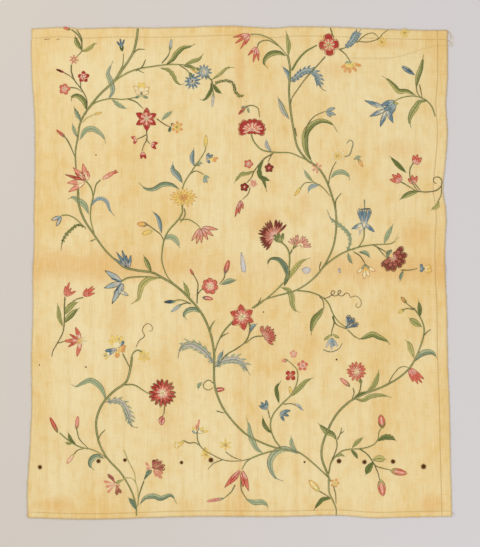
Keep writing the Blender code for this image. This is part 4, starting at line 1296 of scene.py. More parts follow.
# Loose threads at the frayed edges and across the worn holes: the silk or linen thread, its width
# in millimetres and its path.
LOOSE_THREADS = table(
    Stem,
    ("tan", 0.5, ((44.6, 3.05), (44.9, 3.2), (45.1, 3.6), (45.0, 4.0))),
    ("cream", 0.5, ((44.7, 3.3), (45.15, 3.5), (45.3, 4.1), (45.1, 4.6))),
    ("tan", 0.5, ((44.75, 4.0), (45.1, 4.3), (45.2, 4.7))),
    ("cream", 0.5, ((44.7, 4.5), (45.0, 4.55), (45.2, 4.4))),
    ("tan", 0.5, ((45.1, 51.4), (45.35, 51.25), (45.4, 51.5))),
    ("tan", 0.5, ((2.85, 51.6), (2.7, 51.4), (2.6, 51.5))),
    ("cream", 0.5, ((24.1, 25.9), (24.5, 26.3), (24.9, 26.4))),
    ("cream", 0.5, ((33.8, 26.9), (33.75, 27.4), (33.7, 27.9))),
    ("cream", 0.5, ((30.2, 27.0), (30.5, 27.15), (30.9, 27.1))),
    ("brown", 0.7, ((4.45, 3.95), (5.0, 3.9))),
    ("brown", 0.7, ((5.7, 3.95), (6.0, 3.9))),
)

# The knotted spike by the blue flowers: places along it.
SPIKE = ((21.6, 8.3), (22.2, 8.1), (22.9, 8.1), (23.4, 8.5), (23.5, 9.1), (23.9, 9.6), (24.2, 9.55))

# An open flower: its middle in squares, its petals, their length and width in millimetres, where the
# first one heads, how much shorter the others are across it, and the silks of petals, rim and eye.
Bloom = namedtuple("Bloom", "across down petals length width aim oval inner outer edge eye")

SMALL_BLOOMS = table(
    Bloom,
    (7.4, 5.95, 7, 8.6, 2.0, 0, 1.0, "coral", "salmon", None, "cream"),
    (8.35, 7.7, 5, 9.4, 6.0, 0, 1.0, "pink", "crimson", "crimson", "cream"),
    (6.45, 8.9, 5, 9.2, 6.5, 15, 1.0, "pink", "coral", "red", "cream"),
    (24.85, 16.4, 5, 7.4, 5.0, 20, 1.0, "pink", "coral", "dusky", "cream"),
    (26.9, 16.8, 5, 7.4, 5.4, 0, 1.0, "crimson", "plum", "maroon", "pink"),
    (24.45, 18.7, 5, 7.4, 5.4, 10, 1.0, "crimson", "plum", "maroon", "cream"),
    (25.35, 18.35, 5, 7.0, 4.6, 30, 1.0, "salmon", "pink", None, "cream"),
    (31.7, 16.8, 6, 9.0, 3.0, 0, 1.0, "pink", "salmon", None, "yellow"),
    (29.05, 37.55, 4, 9.0, 6.6, 45, 1.0, "coral", "crimson", "crimson", "pink"),
    (30.25, 36.55, 5, 9.0, 6.4, 0, 1.0, "pink", "coral", None, "pink"),
    (29.35, 35.4, 5, 6.6, 4.8, 0, 1.0, "pink", "salmon", None, "cream"),
    (38.2, 4.2, 6, 9.6, 3.6, 0, 0.9, "yellow", "yellow", None, "gold"),
    (40.45, 3.3, 6, 8.6, 3.4, 20, 0.9, "yellow", "yellow", None, "gold"),
    (33.75, 15.6, 6, 12.5, 3.6, 0, 1.0, "yellow", "cream", None, "yellow"),
    (14.4, 35.6, 6, 10.5, 5.0, 0, 1.0, "yellow", "yellow", None, "cream"),
    (22.55, 44.5, 6, 10.5, 3.2, 0, 1.0, "yellow", "yellow", None, "gold"),
    (20.6, 45.4, 6, 9.5, 3.0, 15, 1.0, "yellow", "yellow", None, "gold"),
    (17.7, 44.5, 5, 6.5, 3.6, 30, 0.8, "cream", "yellow", None, None),
    (33.5, 48.3, 5, 8.0, 4.4, 20, 1.0, "yellow", "orange", None, "cream"),
    (17.7, 12.7, 6, 10.5, 4.8, 0, 1.0, "yellow", "orange", None, "gold"),
    (32.9, 4.5, 4, 18.0, 16.5, -5, 0.95, "coral", "crimson", "crimson", "gold"),
    (32.9, 4.5, 8, 11.0, 1.6, -5, 0.95, "cream", "cream", None, "gold"),
)

LARGE_BLOOMS = table(
    Bloom,
    (14.65, 11.9, 6, 18.5, 10.0, 0, 1.0, "coral", "crimson", "crimson", "cream"),
    (14.65, 11.9, 6, 12.0, 3.2, 0, 1.0, "pink", "pink", None, "cream"),
    (24.2, 31.7, 6, 21.0, 12.5, -5, 1.0, "coral", "red", "crimson", "cream"),
    (24.2, 31.7, 12, 13.0, 1.6, -5, 1.0, "cream", "pink", None, "cream"),
    (20.4, 7.2, 11, 13.5, 3.4, 0, 1.0, "light_blue", "mid_blue", None, "cream"),
    (20.4, 7.2, 9, 8.5, 2.0, 14, 1.0, "lavender", "light_blue", None, "cream"),
    (19.25, 8.15, 11, 14.5, 3.4, 10, 1.0, "light_blue", "mid_blue", None, "cream"),
    (19.25, 8.15, 10, 9.5, 1.8, 0, 1.0, "lavender", "blue", None, "navy"),
    (18.35, 19.75, 15, 21.5, 4.0, 90, 0.72, "yellow", "yellow", "orange", "gold"),
    (18.35, 19.75, 10, 13.5, 2.6, 76, 0.75, "orange", "yellow", None, "orange"),
)

# A ring of a full flower's petals: its middle, its petals, their length and width in millimetres,
# where they head, over how many degrees they spread, how much longer or shorter they are across, how
# blunt they are, and their silks. A flower's rings come from the outside in.
RING_VALUES = "across down petals length width aim spread oval blunt inner outer edge"
Ring = namedtuple("Ring", RING_VALUES, defaults=(None,))

FULL_FLOWERS = table(
    Ring,
    # the round red carnation
    (16.25, 39.3, 17, 22.0, 5.2, 0, 360, 1.0, 0.8, "coral", "crimson", "maroon"),
    (16.25, 39.3, 12, 15.5, 3.4, 10, 360, 1.0, 0.9, "pink", "coral"),
    (16.25, 39.3, 9, 10.0, 2.4, 0, 360, 1.0, 0.9, "cream", "pink"),
    # the coral carnation
    (35.65, 37.15, 14, 15.5, 4.0, 0, 360, 1.0, 1.0, "salmon", "coral", "red"),
    (35.65, 37.15, 9, 9.5, 2.0, 12, 360, 1.0, 1.0, "cream", "pink"),
    # the small red rose
    (21.0, 28.6, 7, 13.2, 8.6, 0, 360, 1.0, 0.5, "pink", "coral", "crimson"),
    (21.0, 28.6, 6, 8.0, 3.4, 20, 360, 1.0, 0.8, "cream", "pink"),
    # the wide peony
    (25.2, 12.85, 7, 8.5, 8.0, 180, 150, 2.2, 0.5, "pink", "crimson", "crimson"),
    (25.2, 12.9, 10, 17.0, 8.6, 0, 236, 1.36, 0.5, "salmon", "crimson", "crimson"),
    (25.2, 12.95, 9, 12.5, 3.0, 0, 230, 1.4, 0.9, "cream", "pink"),
    (25.2, 12.95, 8, 8.0, 2.6, 0, 200, 1.4, 1.0, "pink", "coral"),
    # the dark peony, whose petals overlap like tiles away from its calyx
    (39.3, 25.8, 7, 21.0, 9.4, 140, 190, 1.1, 0.5, "dusky", "plum", "maroon"),
    (39.3, 25.8, 6, 15.0, 8.0, 140, 200, 1.1, 0.5, "salmon", "dusky", "maroon"),
    (39.3, 25.8, 6, 9.5, 6.2, 140, 240, 1.1, 0.5, "pink", "dusky", "maroon"),
    (39.0, 25.4, 4, 7.0, 4.0, 300, 140, 1.0, 0.8, "light_teal", "teal", "deep_teal"),
    # the half carnation and its pink neighbour
    (27.5, 23.65, 18, 26.5, 3.4, 306, 190, 1.0, 0.8, "coral", "plum", "maroon"),
    (27.5, 23.65, 12, 18.5, 2.0, 306, 170, 1.0, 0.9, "pink", "salmon"),
    (29.9, 24.7, 11, 19.0, 2.6, 14, 150, 1.0, 0.9, "cream", "pink", "dusky"),
    (30.0, 24.6, 8, 10.0, 1.8, 10, 170, 1.0, 0.9, "cream", "salmon"),
    # the pointed dusky flower beside the salmon star
    (26.3, 33.8, 10, 22.0, 4.4, 54, 138, 0.9, 1.0, "pink", "coral", "plum"),
    (26.3, 33.8, 7, 13.5, 3.0, 54, 110, 0.9, 1.0, "cream", "salmon", "dusky"),
)

# Petals that spring from one root to their tips: the width of each in millimetres and their silks.
Spray = namedtuple("Spray", "root tips width inner outer edge", defaults=(None,))

LILIES = table(
    Spray,
    ((8.65, 18.1), ((8.3, 16.35), (8.8, 17.1), (7.3, 16.75), (6.7, 18.3), (6.85, 19.2)), 8.0, "cream",
        "salmon", "red"),
    ((8.6, 18.1), ((6.5, 17.45), (7.5, 17.3), (8.2, 17.2)), 4.4, "coral", "crimson", "maroon"),
    ((10.1, 18.0), ((11.7, 17.05),), 6.5, "pink", "salmon", "red"),
    ((11.2, 17.4), ((11.6, 17.0), (11.85, 17.2)), 2.0, "coral", "red", "red"),
    ((25.05, 3.35), ((23.3, 3.75), (23.5, 4.35), (24.05, 4.9), (24.55, 4.45)), 4.0, "pink", "coral",
        "crimson"),
    ((25.7, 4.6), ((24.8, 5.55), (25.3, 6.25), (25.85, 6.1)), 4.2, "pink", "coral", "crimson"),
    ((20.1, 22.7), ((19.15, 24.1), (19.65, 24.4), (20.15, 24.3), (20.8, 24.0), (21.35, 23.6),
        (21.8, 22.95)), 5.6, "pink", "salmon", "plum"),
    ((24.05, 19.95), ((23.5, 21.7), (23.9, 21.4), (24.3, 20.9)), 4.6, "pink", "coral", "plum"),
    ((12.85, 27.0), ((11.4, 25.8), (11.65, 25.2), (12.2, 25.0), (12.6, 25.5), (13.1, 25.5)), 4.8,
        "lavender", "mid_blue", "navy"),
    ((12.3, 28.2), ((10.5, 27.05), (10.4, 28.8), (11.2, 30.4), (11.9, 29.5)), 8.4, "lavender", "light_blue",
        "navy"),
    ((12.3, 28.2), ((11.0, 27.8), (11.3, 29.4)), 3.2, "mid_blue", "blue"),
    ((11.9, 29.1), ((12.85, 29.55),), 5.6, "cream", "lavender", "slate"),
    ((38.7, 10.9), ((36.45, 10.05), (36.95, 11.65), (38.0, 12.7), (39.3, 12.3)), 7.0, "light_blue",
        "mid_blue", "blue"),
    ((39.6, 10.1), ((38.1, 10.5), (38.9, 11.7), (38.3, 11.2)), 8.5, "light_blue", "mid_blue", "blue"),
    ((38.6, 11.0), ((37.0, 10.4), (37.4, 11.5), (38.1, 12.2), (39.0, 11.9)), 2.4, "cream", "lavender"),
    ((40.05, 6.55), ((41.45, 7.5),), 7.5, "light_blue", "mid_blue", "navy"),
    ((40.1, 6.6), ((41.3, 7.35),), 2.4, "blue", "navy"),
    ((36.4, 22.9), ((36.2, 21.4), (36.7, 21.4)), 2.4, "cream", "lavender"),
    ((35.9, 20.95), ((37.15, 20.85),), 2.0, "blue", "navy"),
    ((36.4, 22.3), ((35.15, 22.9), (37.45, 23.2)), 6.0, "light_blue", "mid_blue", "blue"),
    ((36.2, 22.4), ((35.5, 23.0), (35.9, 23.6), (37.0, 22.6)), 4.0, "cream", "lavender"),
    ((24.1, 46.9), ((22.45, 48.75), (23.0, 48.4)), 7.4, "pink", "coral", "crimson"),
    ((24.25, 46.9), ((24.3, 48.7), (24.85, 49.1)), 7.4, "pink", "coral", "crimson"),
    ((24.1, 47.0), ((22.8, 48.4), (24.6, 48.8)), 2.2, "crimson", "crimson"),
)

BELLS = table(
    Spray,
    ((6.2, 21.6), ((5.15, 22.0), (5.65, 22.6)), 5.4, "light_blue", "lavender", "navy"),
    ((20.45, 17.5), ((20.4, 18.3), (20.7, 18.3), (20.9, 17.8)), 3.2, "light_teal", "light_blue", "teal"),
    ((32.55, 11.1), ((33.5, 10.8), (33.55, 11.5), (33.1, 11.7)), 4.6, "light_blue", "light_blue", "slate"),
    ((33.15, 33.7), ((32.55, 34.85), (33.15, 35.05), (33.8, 34.75)), 5.4, "light_blue", "lavender"),
    ((33.2, 33.7), ((33.1, 34.9), (33.4, 34.7)), 4.4, "blue", "mid_blue"),
    ((33.2, 33.4), ((32.4, 34.0), (33.9, 33.8)), 3.6, "straw_green", "light_green", "green"),
    ((34.6, 32.7), ((34.65, 31.7),), 2.8, "cream", "lavender"),
    ((26.75, 41.0), ((25.9, 40.55), (26.1, 40.2), (26.6, 40.0)), 4.6, "light_blue", "mid_blue", "slate"),
    ((27.95, 41.2), ((29.05, 41.05), (28.9, 41.6), (28.4, 42.1)), 4.6, "light_blue", "mid_blue", "slate"),
    ((29.4, 40.3), ((30.2, 40.7), (30.4, 41.1)), 3.6, "lavender", "light_blue"),
    ((39.4, 24.2), ((39.9, 23.4), (40.4, 22.9), (39.8, 23.9)), 1.4, "straw_green", "cream"),
    ((12.15, 4.75), ((11.65, 4.1), (12.0, 3.8), (12.45, 3.9)), 2.8, "mid_blue", "blue"),
    ((12.25, 5.2), ((11.95, 4.55), (12.3, 4.5)), 2.6, "deep_green", "deep_green"),
    ((24.6, 10.65), ((23.85, 11.45), (24.1, 11.2)), 4.0, "coral", "crimson", "crimson"),
    ((24.7, 10.6), ((24.1, 10.8), (24.9, 11.3)), 3.0, "light_teal", "teal", "teal"),
)

TULIPS = table(
    Spray,
    ((41.5, 16.5), ((41.35, 15.5), (42.15, 15.75), (41.75, 15.45)), 7.0, "pink", "coral", "crimson"),
    ((40.15, 18.2), ((38.95, 17.95), (39.75, 17.3), (39.2, 17.45)), 7.0, "pink", "coral", "crimson"),
    ((41.35, 18.4), ((40.8, 17.85), (41.7, 17.6), (41.2, 17.5)), 6.0, "pink", "coral", "crimson"),
    ((6.5, 29.65), ((6.55, 28.6), (6.95, 28.2), (7.15, 28.8), (7.6, 29.1)), 4.4, "salmon", "coral", "red"),
    ((8.3, 29.65), ((8.7, 28.8), (9.3, 28.6), (9.5, 28.8), (9.5, 29.3)), 4.2, "salmon", "coral", "red"),
    ((40.85, 36.7), ((41.3, 38.2), (41.8, 38.4), (42.2, 38.3), (42.4, 37.9)), 6.0, "pink", "coral", "red"),
    ((8.1, 34.05), ((7.55, 32.7), (6.4, 34.1), (7.7, 35.65)), 6.6, "pink", "coral", "red"),
    ((7.9, 34.0), ((6.95, 33.4), (6.8, 34.7)), 4.0, "coral", "red", "crimson"),
    ((7.7, 34.1), ((8.0, 33.5), (8.6, 33.7), (8.9, 34.1), (8.5, 34.5), (8.0, 34.7)), 2.0, "yellow",
        "cream"),
    ((14.25, 15.15), ((14.1, 15.9), (14.6, 15.9)), 5.0, "pink", "crimson", "crimson"),
    ((13.65, 13.85), ((13.1, 13.7), (13.4, 14.4)), 5.0, "pink", "red", "crimson"),
    ((15.1, 14.4), ((15.8, 14.3), (15.6, 14.9)), 5.4, "pink", "crimson", "crimson"),
)

CARNATIONS = table(
    Spray,
    ((11.6, 48.4), ((10.8, 47.4), (11.1, 47.6), (11.7, 49.5), (12.1, 49.3)), 4.6, "salmon", "dusky",
        "plum"),
    ((11.6, 48.4), ((10.3, 48.1), (10.5, 48.7), (10.7, 49.3), (12.0, 48.6)), 4.6, "pink", "salmon"),
    ((15.2, 46.9), ((15.4, 46.0), (15.8, 45.9), (16.2, 46.1), (16.5, 46.5), (16.5, 46.9)), 4.6, "salmon",
        "dusky", "plum"),
    ((15.2, 46.9), ((14.5, 46.2), (14.6, 46.8)), 4.2, "pink", "salmon"),
    ((15.3, 47.0), ((15.7, 47.6), (16.2, 47.8), (16.3, 47.3)), 4.6, "pink", "salmon", "coral"),
    ((14.35, 48.05), ((15.15, 47.0), (14.9, 46.95)), 4.2, "deep_teal", "teal", "deep_teal"),
    ((12.7, 47.75), ((11.6, 48.3),), 4.4, "light_green", "light_green", "green"),
    ((29.2, 25.0), ((30.1, 24.2), (29.7, 24.0)), 4.2, "green", "light_green", "green"),
    # the blue iris and the blue trumpet, which open wide at their rims
    ((36.4, 23.2), ((35.9, 20.85), (36.45, 20.8), (37.0, 20.85)), 7.4, "light_blue", "mid_blue", "blue"),
    ((34.5, 32.9), ((34.95, 31.5), (35.45, 31.8), (35.85, 32.35)), 7.6, "mid_blue", "blue", "navy"),
)

PANSIES = table(
    Spray,
    ((14.15, 9.4), ((13.4, 8.6), (13.5, 9.1), (14.9, 9.2), (14.9, 8.7)), 6.4, "cream", "cream", "orange"),
    ((14.15, 9.3), ((13.9, 8.2), (14.4, 8.2)), 8.0, "cream", "yellow"),
    ((34.9, 6.3), ((34.1, 6.8), (34.4, 7.3), (35.0, 7.4), (35.7, 7.2), (36.2, 6.6)), 6.0, "yellow",
        "orange"),
    ((35.0, 6.1), ((34.5, 6.4), (35.2, 6.6)), 4.0, "light_teal", "light_teal", "teal"),
    ((20.9, 15.9), ((21.9, 15.8), (21.7, 16.15)), 4.8, "yellow", "orange"),
    ((20.6, 15.9), ((20.9, 15.3), (21.3, 15.5), (21.0, 16.3)), 4.0, "lavender", "mid_blue", "slate"),
    ((36.5, 26.6), ((35.7, 27.3), (36.4, 27.9), (36.9, 27.7), (37.5, 27.1)), 5.4, "yellow", "cream",
        "orange"),
    ((36.5, 26.4), ((36.1, 27.0), (37.0, 26.9)), 3.0, "teal", "teal"),
    ((42.35, 26.85), ((43.1, 26.6), (43.2, 27.1), (42.9, 27.3)), 6.0, "cream", "yellow", "orange"),
    ((42.0, 26.85), ((42.2, 26.4), (42.45, 26.9), (42.2, 27.2)), 4.6, "light_blue", "mid_blue", "blue"),
    ((11.8, 34.9), ((10.8, 33.9), (11.1, 33.4), (11.7, 33.4), (12.2, 33.5)), 6.0, "cream", "yellow"),
    ((11.8, 34.8), ((11.9, 33.8), (12.4, 34.1)), 5.0, "lavender", "mid_blue", "blue"),
    ((11.8, 34.9), ((12.6, 34.6), (12.5, 35.1), (11.7, 35.8)), 6.4, "yellow", "orange", "orange"),
    ((11.0, 35.2), ((10.3, 35.5), (10.5, 36.0)), 4.6, "cream", "yellow"),
    ((11.8, 34.9), ((10.5, 35.1), (10.4, 35.6)), 5.0, "lavender", "mid_blue", "blue"),
    ((19.7, 43.3), ((19.2, 42.6), (20.4, 42.7), (20.9, 43.1)), 4.4, "cream", "yellow"),
    ((19.7, 43.2), ((19.95, 41.8), (19.6, 42.4)), 2.6, "orange", "salmon"),
    ((17.1, 12.6), ((16.9, 13.2), (17.3, 12.3)), 4.0, "deep_teal", "deep_teal", "deep_teal"),
    ((14.1, 9.55), ((13.5, 9.8), (14.2, 9.2), (14.8, 9.8)), 3.6, "light_teal", "teal", "teal"),
    ((28.2, 24.3), ((27.3, 23.4), (27.7, 23.1), (28.3, 23.3), (27.4, 23.9)), 4.0, "light_green", "green",
        "deep_green"),
    ((19.8, 43.35), ((19.2, 43.1), (19.8, 42.6), (20.4, 43.1)), 3.4, "light_teal", "light_blue", "slate"),
)

# A bud: its base and its tip in squares, its width in millimetres, its silks and its sepals' silk.
Bud = namedtuple("Bud", "base tip width inner outer edge sepal")

BUDS = table(
    Bud,
    ((7.0, 2.95), (6.3, 2.75), 4.6, "salmon", "coral", None, "green"),
    ((6.4, 7.25), (5.55, 6.9), 3.6, "maroon", "maroon", None, "dusky"),
    ((6.5, 13.7), (5.65, 13.0), 4.6, "coral", "red", "red", "slate"),
    ((9.4, 11.45), (10.2, 11.25), 3.4, "yellow", "yellow", "gold", "straw_green"),
    ((17.0, 5.0), (17.15, 3.9), 4.4, "light_blue", "lavender", "light_blue", "green"),
    ((21.35, 9.4), (21.2, 10.8), 4.6, "lavender", "lavender", None, "green"),
    ((19.65, 6.85), (20.2, 7.1), 5.0, "green", "green", None, "deep_green"),
    ((19.0, 7.3), (19.2, 7.8), 5.0, "green", "green", None, "deep_green"),
    ((14.7, 22.45), (13.7, 22.4), 8.0, "yellow", "orange", "orange", "slate"),
    ((15.2, 23.1), (14.2, 23.4), 6.5, "yellow", "yellow", "gold", "straw_green"),
    ((20.55, 14.7), (20.6, 13.5), 5.6, "yellow", "yellow", "gold", "straw_green"),
    ((35.8, 15.9), (36.3, 16.7), 5.0, "yellow", "orange", "orange", "teal"),
    ((30.1, 18.7), (29.45, 19.6), 4.6, "yellow", "yellow", "gold", "straw_green"),
    ((22.5, 27.3), (22.9, 26.0), 7.4, "salmon", "red", "red", "slate"),
    ((19.35, 27.5), (19.0, 26.9), 3.4, "coral", "red", "crimson", "stalk"),
    ((17.5, 30.15), (16.4, 30.2), 5.0, "blue", "navy", "navy", "teal"),
    ((18.1, 30.45), (17.1, 31.2), 5.0, "lavender", "light_blue", "light_blue", "teal"),
    ((21.5, 39.0), (22.45, 38.9), 7.0, "pink", "red", "crimson", "teal"),
    ((16.2, 41.65), (16.15, 42.5), 9.5, "crimson", "pink", "crimson", "dusky"),
    ((5.75, 43.2), (5.0, 41.7), 6.0, "coral", "red", "crimson", "green"),
    ((7.65, 42.9), (7.8, 41.6), 5.6, "pink", "salmon", "coral", "green"),
    ((7.4, 45.4), (6.7, 46.35), 5.0, "cream", "pink", "salmon", "straw_green"),
    ((18.4, 44.05), (17.75, 44.7), 4.8, "yellow", "yellow", "gold", "straw_green"),
    ((20.5, 44.75), (20.7, 45.6), 4.8, "yellow", "yellow", "gold", "straw_green"),
    ((22.3, 49.85), (20.55, 50.15), 5.8, "blue", "salmon", None, "teal"),
    ((29.15, 39.5), (28.95, 38.6), 4.6, "yellow", "yellow", "gold", "straw_green"),
    ((28.7, 36.0), (28.2, 36.1), 5.0, "pink", "salmon", "coral", "green"),
    ((31.9, 49.1), (30.9, 48.0), 9.0, "cream", "yellow", "orange", "straw_green"),
    ((38.25, 42.75), (38.05, 41.45), 11.0, "pink", "coral", "crimson", "green"),
    ((39.1, 47.05), (40.7, 47.35), 10.5, "pink", "coral", "crimson", "light_green"),
    ((38.05, 48.0), (38.3, 49.6), 12.0, "pink", "coral", "crimson", "light_green"),
    ((20.3, 29.75), (21.3, 29.9), 6.0, "pink", "coral", "crimson", "slate"),
    ((34.95, 38.6), (34.0, 37.8), 6.4, "pink", "salmon", "coral", "green"),
    ((40.6, 30.25), (40.1, 29.7), 5.0, "gold", "orange", "brown", "stalk"),
    ((40.4, 30.95), (39.8, 31.3), 5.0, "straw_green", "yellow", "gold", "green"),
    ((36.1, 38.3), (36.0, 37.9), 6.0, "green", "green", None, "light_green"),
    ((39.3, 10.3), (39.9, 10.4), 4.0, "straw_green", "light_green", None, "green"),
)


def sew_lines(name, seed, rows, layer=1):
    """Sews one piece with the stems of a table."""
    work = Needlework(name, seed)
    for row in rows:
        work.line(row.path, row.silk, row.width * MM, layer=layer)
    work.sewn()


# Rings whose middles are nearer than this, in squares, are one flower, and each lies this many layers
# above the one before.
SAME_MIDDLE = 0.2
RING_LIFT = 0.7


def lift(rings, index):
    """The layer of one of some rings of petals: each lies over the earlier ones with its middle."""
    middles = [(ring.across, ring.down) for ring in rings[: index + 1]]
    return RING_LIFT * sum(math.dist(middle, middles[-1]) < SAME_MIDDLE for middle in middles[:-1])


# The hems' running stitches: how far apart they start, what share of that each takes, and how thick
# they are.
HEM_STITCH = 5.0 * MM
HEM_STITCH_SHARE = 0.45
HEM_THREAD = 0.55 * MM


# The steps, one for each piece or group of like pieces


class EMB_OT_linen(Operator):
    """Lay the linen cloth on its folds and hems"""

    bl_idname = "emb.linen"
    bl_label = "Linen cloth"

    def execute(self, context):
        make_linen()
        return {"FINISHED"}


class EMB_OT_hems(Operator):
    """Sew the hems down with small running stitches, and lay the frayed threads"""

    bl_idname = "emb.hems"
    bl_label = "Hems and frays"

    def execute(self, context):
        solid = tree_of(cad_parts[CLOTH_NODE].data, upward_only=True)
        sides = cloth_sides(solid)
        work = Needlework("hem_stitches", 71)
        for side, axis, sign in (("right", 0, 1), ("bottom", 1, -1), ("top", 1, 1)):
            places = np.arange(LOW[1 - axis] + CORNER, HIGH[1 - axis] - CORNER, HEM_STITCH)
            line = np.stack([sign * (sides[side](places) - HEM_WIDTHS[side]), places], 1)
            ends = line + (0.0, HEM_STITCH_SHARE * HEM_STITCH)
            if axis == 1:
                line, ends = line[:, ::-1], ends[:, ::-1]
            work.stitch(line, ends, "tan", width=HEM_THREAD)
        work.sewn()
        sew_lines("loose_threads", 72, LOOSE_THREADS, layer=0)
        return {"FINISHED"}


class EMB_OT_vines(Operator):
    """Sew the main vines, their branches and the tendrils"""

    bl_idname = "emb.vines"
    bl_label = "Vines"

    def execute(self, context):
        sew_lines("main_vines", 11, MAIN_VINES)
        sew_lines("branches", 12, BRANCHES)
        sew_lines("tendrils", 13, TENDRILS)
        return {"FINISHED"}


class EMB_OT_leaves(Operator):
    """Sew the leaves, the feathery leaves and the knotted spike"""

    bl_idname = "emb.leaves"
    bl_label = "Leaves"

    def execute(self, context):
        upper, lower = Needlework("upper_leaves", 21), Needlework("lower_leaves", 22)
        for row in LEAVES:
            work = upper if row.path[0][1] < PATTERN_MIDDLE[1] else lower
            work.leaf(row.path, row.width * MM, *row.silks, row.teeth)
        upper.sewn()
        lower.sewn()
        feathery = Needlework("feathery_leaves", 23)
        for row in FEATHERS:
            feathery.feather(row.path, row.width * MM, *row.silks, row.barbs)
        feathery.sewn()
        spike = Needlework("knotted_spike", 24)
        for spot in along(SPIKE, 1.3 * MM):
            spike.knots(spot, 2.4 * MM, 5, "deep_green", layer=1)
            spike.knots(spot, 1.6 * MM, 2, "light_green", layer=2)
        spike.sewn()
        return {"FINISHED"}


class EMB_OT_blooms(Operator):
    """Sew the open flowers, small and large"""

    bl_idname = "emb.blooms"
    bl_label = "Open flowers"

    def execute(self, context):
        kinds = (
            ("small_blooms", 31, SMALL_BLOOMS, {"fullest": 0.58}),
            ("large_blooms", 32, LARGE_BLOOMS, {"blunt": 1.0, "fullest": 0.45}),
        )
        for name, seed, rows, shape in kinds:
            work = Needlework(name, seed)
            for index, row in enumerate(rows):
                work.bloom(row, layer=lift(rows, index), **shape)
            work.sewn()
        return {"FINISHED"}


class EMB_OT_full_flowers(Operator):
    """Sew the peonies, the carnations and the rose, ring by ring"""

    bl_idname = "emb.full_flowers"
    bl_label = "Full flowers"

    def execute(self, context):
        work = Needlework("full_flowers", 41)
        for index, row in enumerate(FULL_FLOWERS):
            centre = on_cloth(row.across, row.down)
            layer = lift(FULL_FLOWERS, index)
            silks = (row.inner, row.outer, row.edge)
            sizes = (row.petals, row.length * MM, row.width * MM, row.aim, row.spread)
            shape = {"blunt": row.blunt, "fullest": 0.68, "ragged": 0.03}
            work.fan(centre, *sizes, silks, row.oval, **shape, layer=layer)
        work.sewn()
        return {"FINISHED"}


class EMB_OT_side_flowers(Operator):
    """Sew the flowers seen from the side: lilies, bells, tulips, carnations and pansies"""

    bl_idname = "emb.side_flowers"
    bl_label = "Flowers from the side"

    def execute(self, context):
        kinds = (
            ("lilies", 51, LILIES, {"blunt": 1.0, "fullest": 0.45}),
            ("bells", 52, BELLS, {"blunt": 0.8, "fullest": 0.55}),
            ("tulips", 53, TULIPS, {"blunt": 0.8, "fullest": 0.42}),
            ("carnations", 54, CARNATIONS, {"blunt": 0.7, "fullest": 0.80, "ragged": 0.05}),
            ("pansies", 55, PANSIES, {"blunt": 0.6, "fullest": 0.62}),
        )
        for name, seed, rows, shape in kinds:
            work = Needlework(name, seed)
            for row in rows:
                work.spray(row, **shape)
            work.sewn()
        return {"FINISHED"}


class EMB_OT_buds(Operator):
    """Sew the buds in their sepals"""

    bl_idname = "emb.buds"
    bl_label = "Buds"

    def execute(self, context):
        work = Needlework("buds", 61)
        for row in BUDS:
            work.bud(row)
        work.sewn()
        return {"FINISHED"}


# The ground's half width and how far it lies under the cloth, and the soft light from all round.
GROUND_REACH = 20.0
GROUND_DROP = 0.3 * MM
ROOM_TINT = (1.0, 0.99, 0.98, 1.0)
ROOM_LIGHT = 0.60
# The lamps' width and height. Their names, places in metres, power in watts and tints.
LAMP_SIZE = (1.8, 1.4)
LAMPS = (
    ("key_light", (-1.5, 1.2, 1.9), 24.0, (1.0, 0.985, 0.95)),
    ("fill_light", (1.5, -1.5, 2.0), 22.0, (0.985, 0.985, 1.0)),
)


# The height of the camera's sensor in millimetres, and where over the cloth it hangs.
SENSOR = 36.0
CAMERA_PLACE = (0.8 * MM, -1.4 * MM)


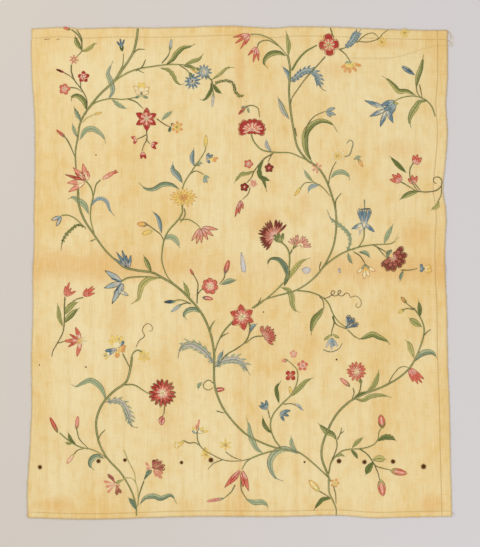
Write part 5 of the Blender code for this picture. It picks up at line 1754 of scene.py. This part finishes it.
class EMB_OT_stage(Operator):
    """Add the pale ground, the soft light and the camera that looks straight down"""

    bl_idname = "emb.stage"
    bl_label = "Ground, light and camera"

    def execute(self, context):
        scene = context.scene
        settings = scene.emb_stage
        ground = bmesh.new()
        bmesh.ops.create_grid(ground, x_segments=1, y_segments=1, size=GROUND_REACH)
        bmesh.ops.translate(ground, verts=ground.verts[:], vec=(0.0, 0.0, -GROUND_DROP))
        mesh = bpy.data.meshes.new("ground")
        ground.to_mesh(mesh)
        ground.free()
        floor = bpy.data.objects.new("ground", mesh)
        scene.collection.objects.link(floor)
        mesh.materials.append(ground_material(settings))

        for name, place, power, tint in LAMPS:
            lamp = bpy.data.lights.new(name, "AREA")
            lamp.shape = "RECTANGLE"
            lamp.size, lamp.size_y = LAMP_SIZE
            lamp.energy = power
            lamp.color = tint
            light = bpy.data.objects.new(name, lamp)
            light.location = place
            light.rotation_euler = (-light.location).to_track_quat("-Z", "Y").to_euler()
            scene.collection.objects.link(light)

        world = bpy.data.worlds.new("studio")
        world.use_nodes = True
        back = world.node_tree.nodes["Background"]
        back.inputs["Color"].default_value = ROOM_TINT
        back.inputs["Strength"].default_value = ROOM_LIGHT
        scene.world = world
        scene.view_settings.view_transform = "Standard"

        view = bpy.data.cameras.new("camera")
        view.sensor_fit = "VERTICAL"
        view.sensor_height = SENSOR
        view.lens = SENSOR * settings.camera_height / settings.picture_height
        view.clip_end = GROUND_REACH
        camera = bpy.data.objects.new("camera", view)
        camera.location = (*CAMERA_PLACE, settings.camera_height)
        scene.collection.objects.link(camera)
        scene.camera = camera
        return {"FINISHED"}


def ground_material(settings):
    """The plain ground, a little lighter and darker from place to place."""
    n = Nodes("plain_ground")
    cloud = n.noise(3.0, 3.0, 2.0).between(0.3, 0.7)
    rightward = n.parts(n.place)[0].between(-0.45, 0.45)
    colour = n.mix(rightward, opaque(tone(214, 206, 196)), opaque(settings.floor))
    colour = n.mix(cloud * 0.10, colour, opaque([part * 0.9 for part in settings.floor]))
    return n.finish(Base_Color=colour, Roughness=0.8)


STEPS = (
    EMB_OT_linen,
    EMB_OT_hems,
    EMB_OT_vines,
    EMB_OT_leaves,
    EMB_OT_blooms,
    EMB_OT_full_flowers,
    EMB_OT_side_flowers,
    EMB_OT_buds,
    EMB_OT_stage,
)


class EMB_PT_steps(Panel):
    """The steps that make the cloth, in their order"""

    bl_idname = "EMB_PT_steps"
    bl_label = "Embroidered cloth"
    bl_space_type = "VIEW_3D"
    bl_region_type = "UI"
    bl_category = "Embroidery"

    def draw(self, context):
        for step in STEPS:
            self.layout.operator(step.bl_idname)


GROUPS = {
    "emb_cloth": EMB_PG_cloth,
    "emb_silk": EMB_PG_silk,
    "emb_stitch": EMB_PG_stitch,
    "emb_stage": EMB_PG_stage,
}


def register():
    for group in GROUPS.values():
        bpy.utils.register_class(group)
    for name, group in GROUPS.items():
        setattr(bpy.types.Scene, name, PointerProperty(type=group))
    for shown in (*STEPS, EMB_PT_steps):
        bpy.utils.register_class(shown)


def unregister():
    for shown in (EMB_PT_steps, *reversed(STEPS)):
        bpy.utils.unregister_class(shown)
    for name in GROUPS:
        delattr(bpy.types.Scene, name)
    for group in reversed(GROUPS.values()):
        bpy.utils.unregister_class(group)


def main():
    register()
    for step in STEPS:
        group, action = step.bl_idname.split(".")
        getattr(getattr(bpy.ops, group), action)()


if __name__ == "__main__":
    main()
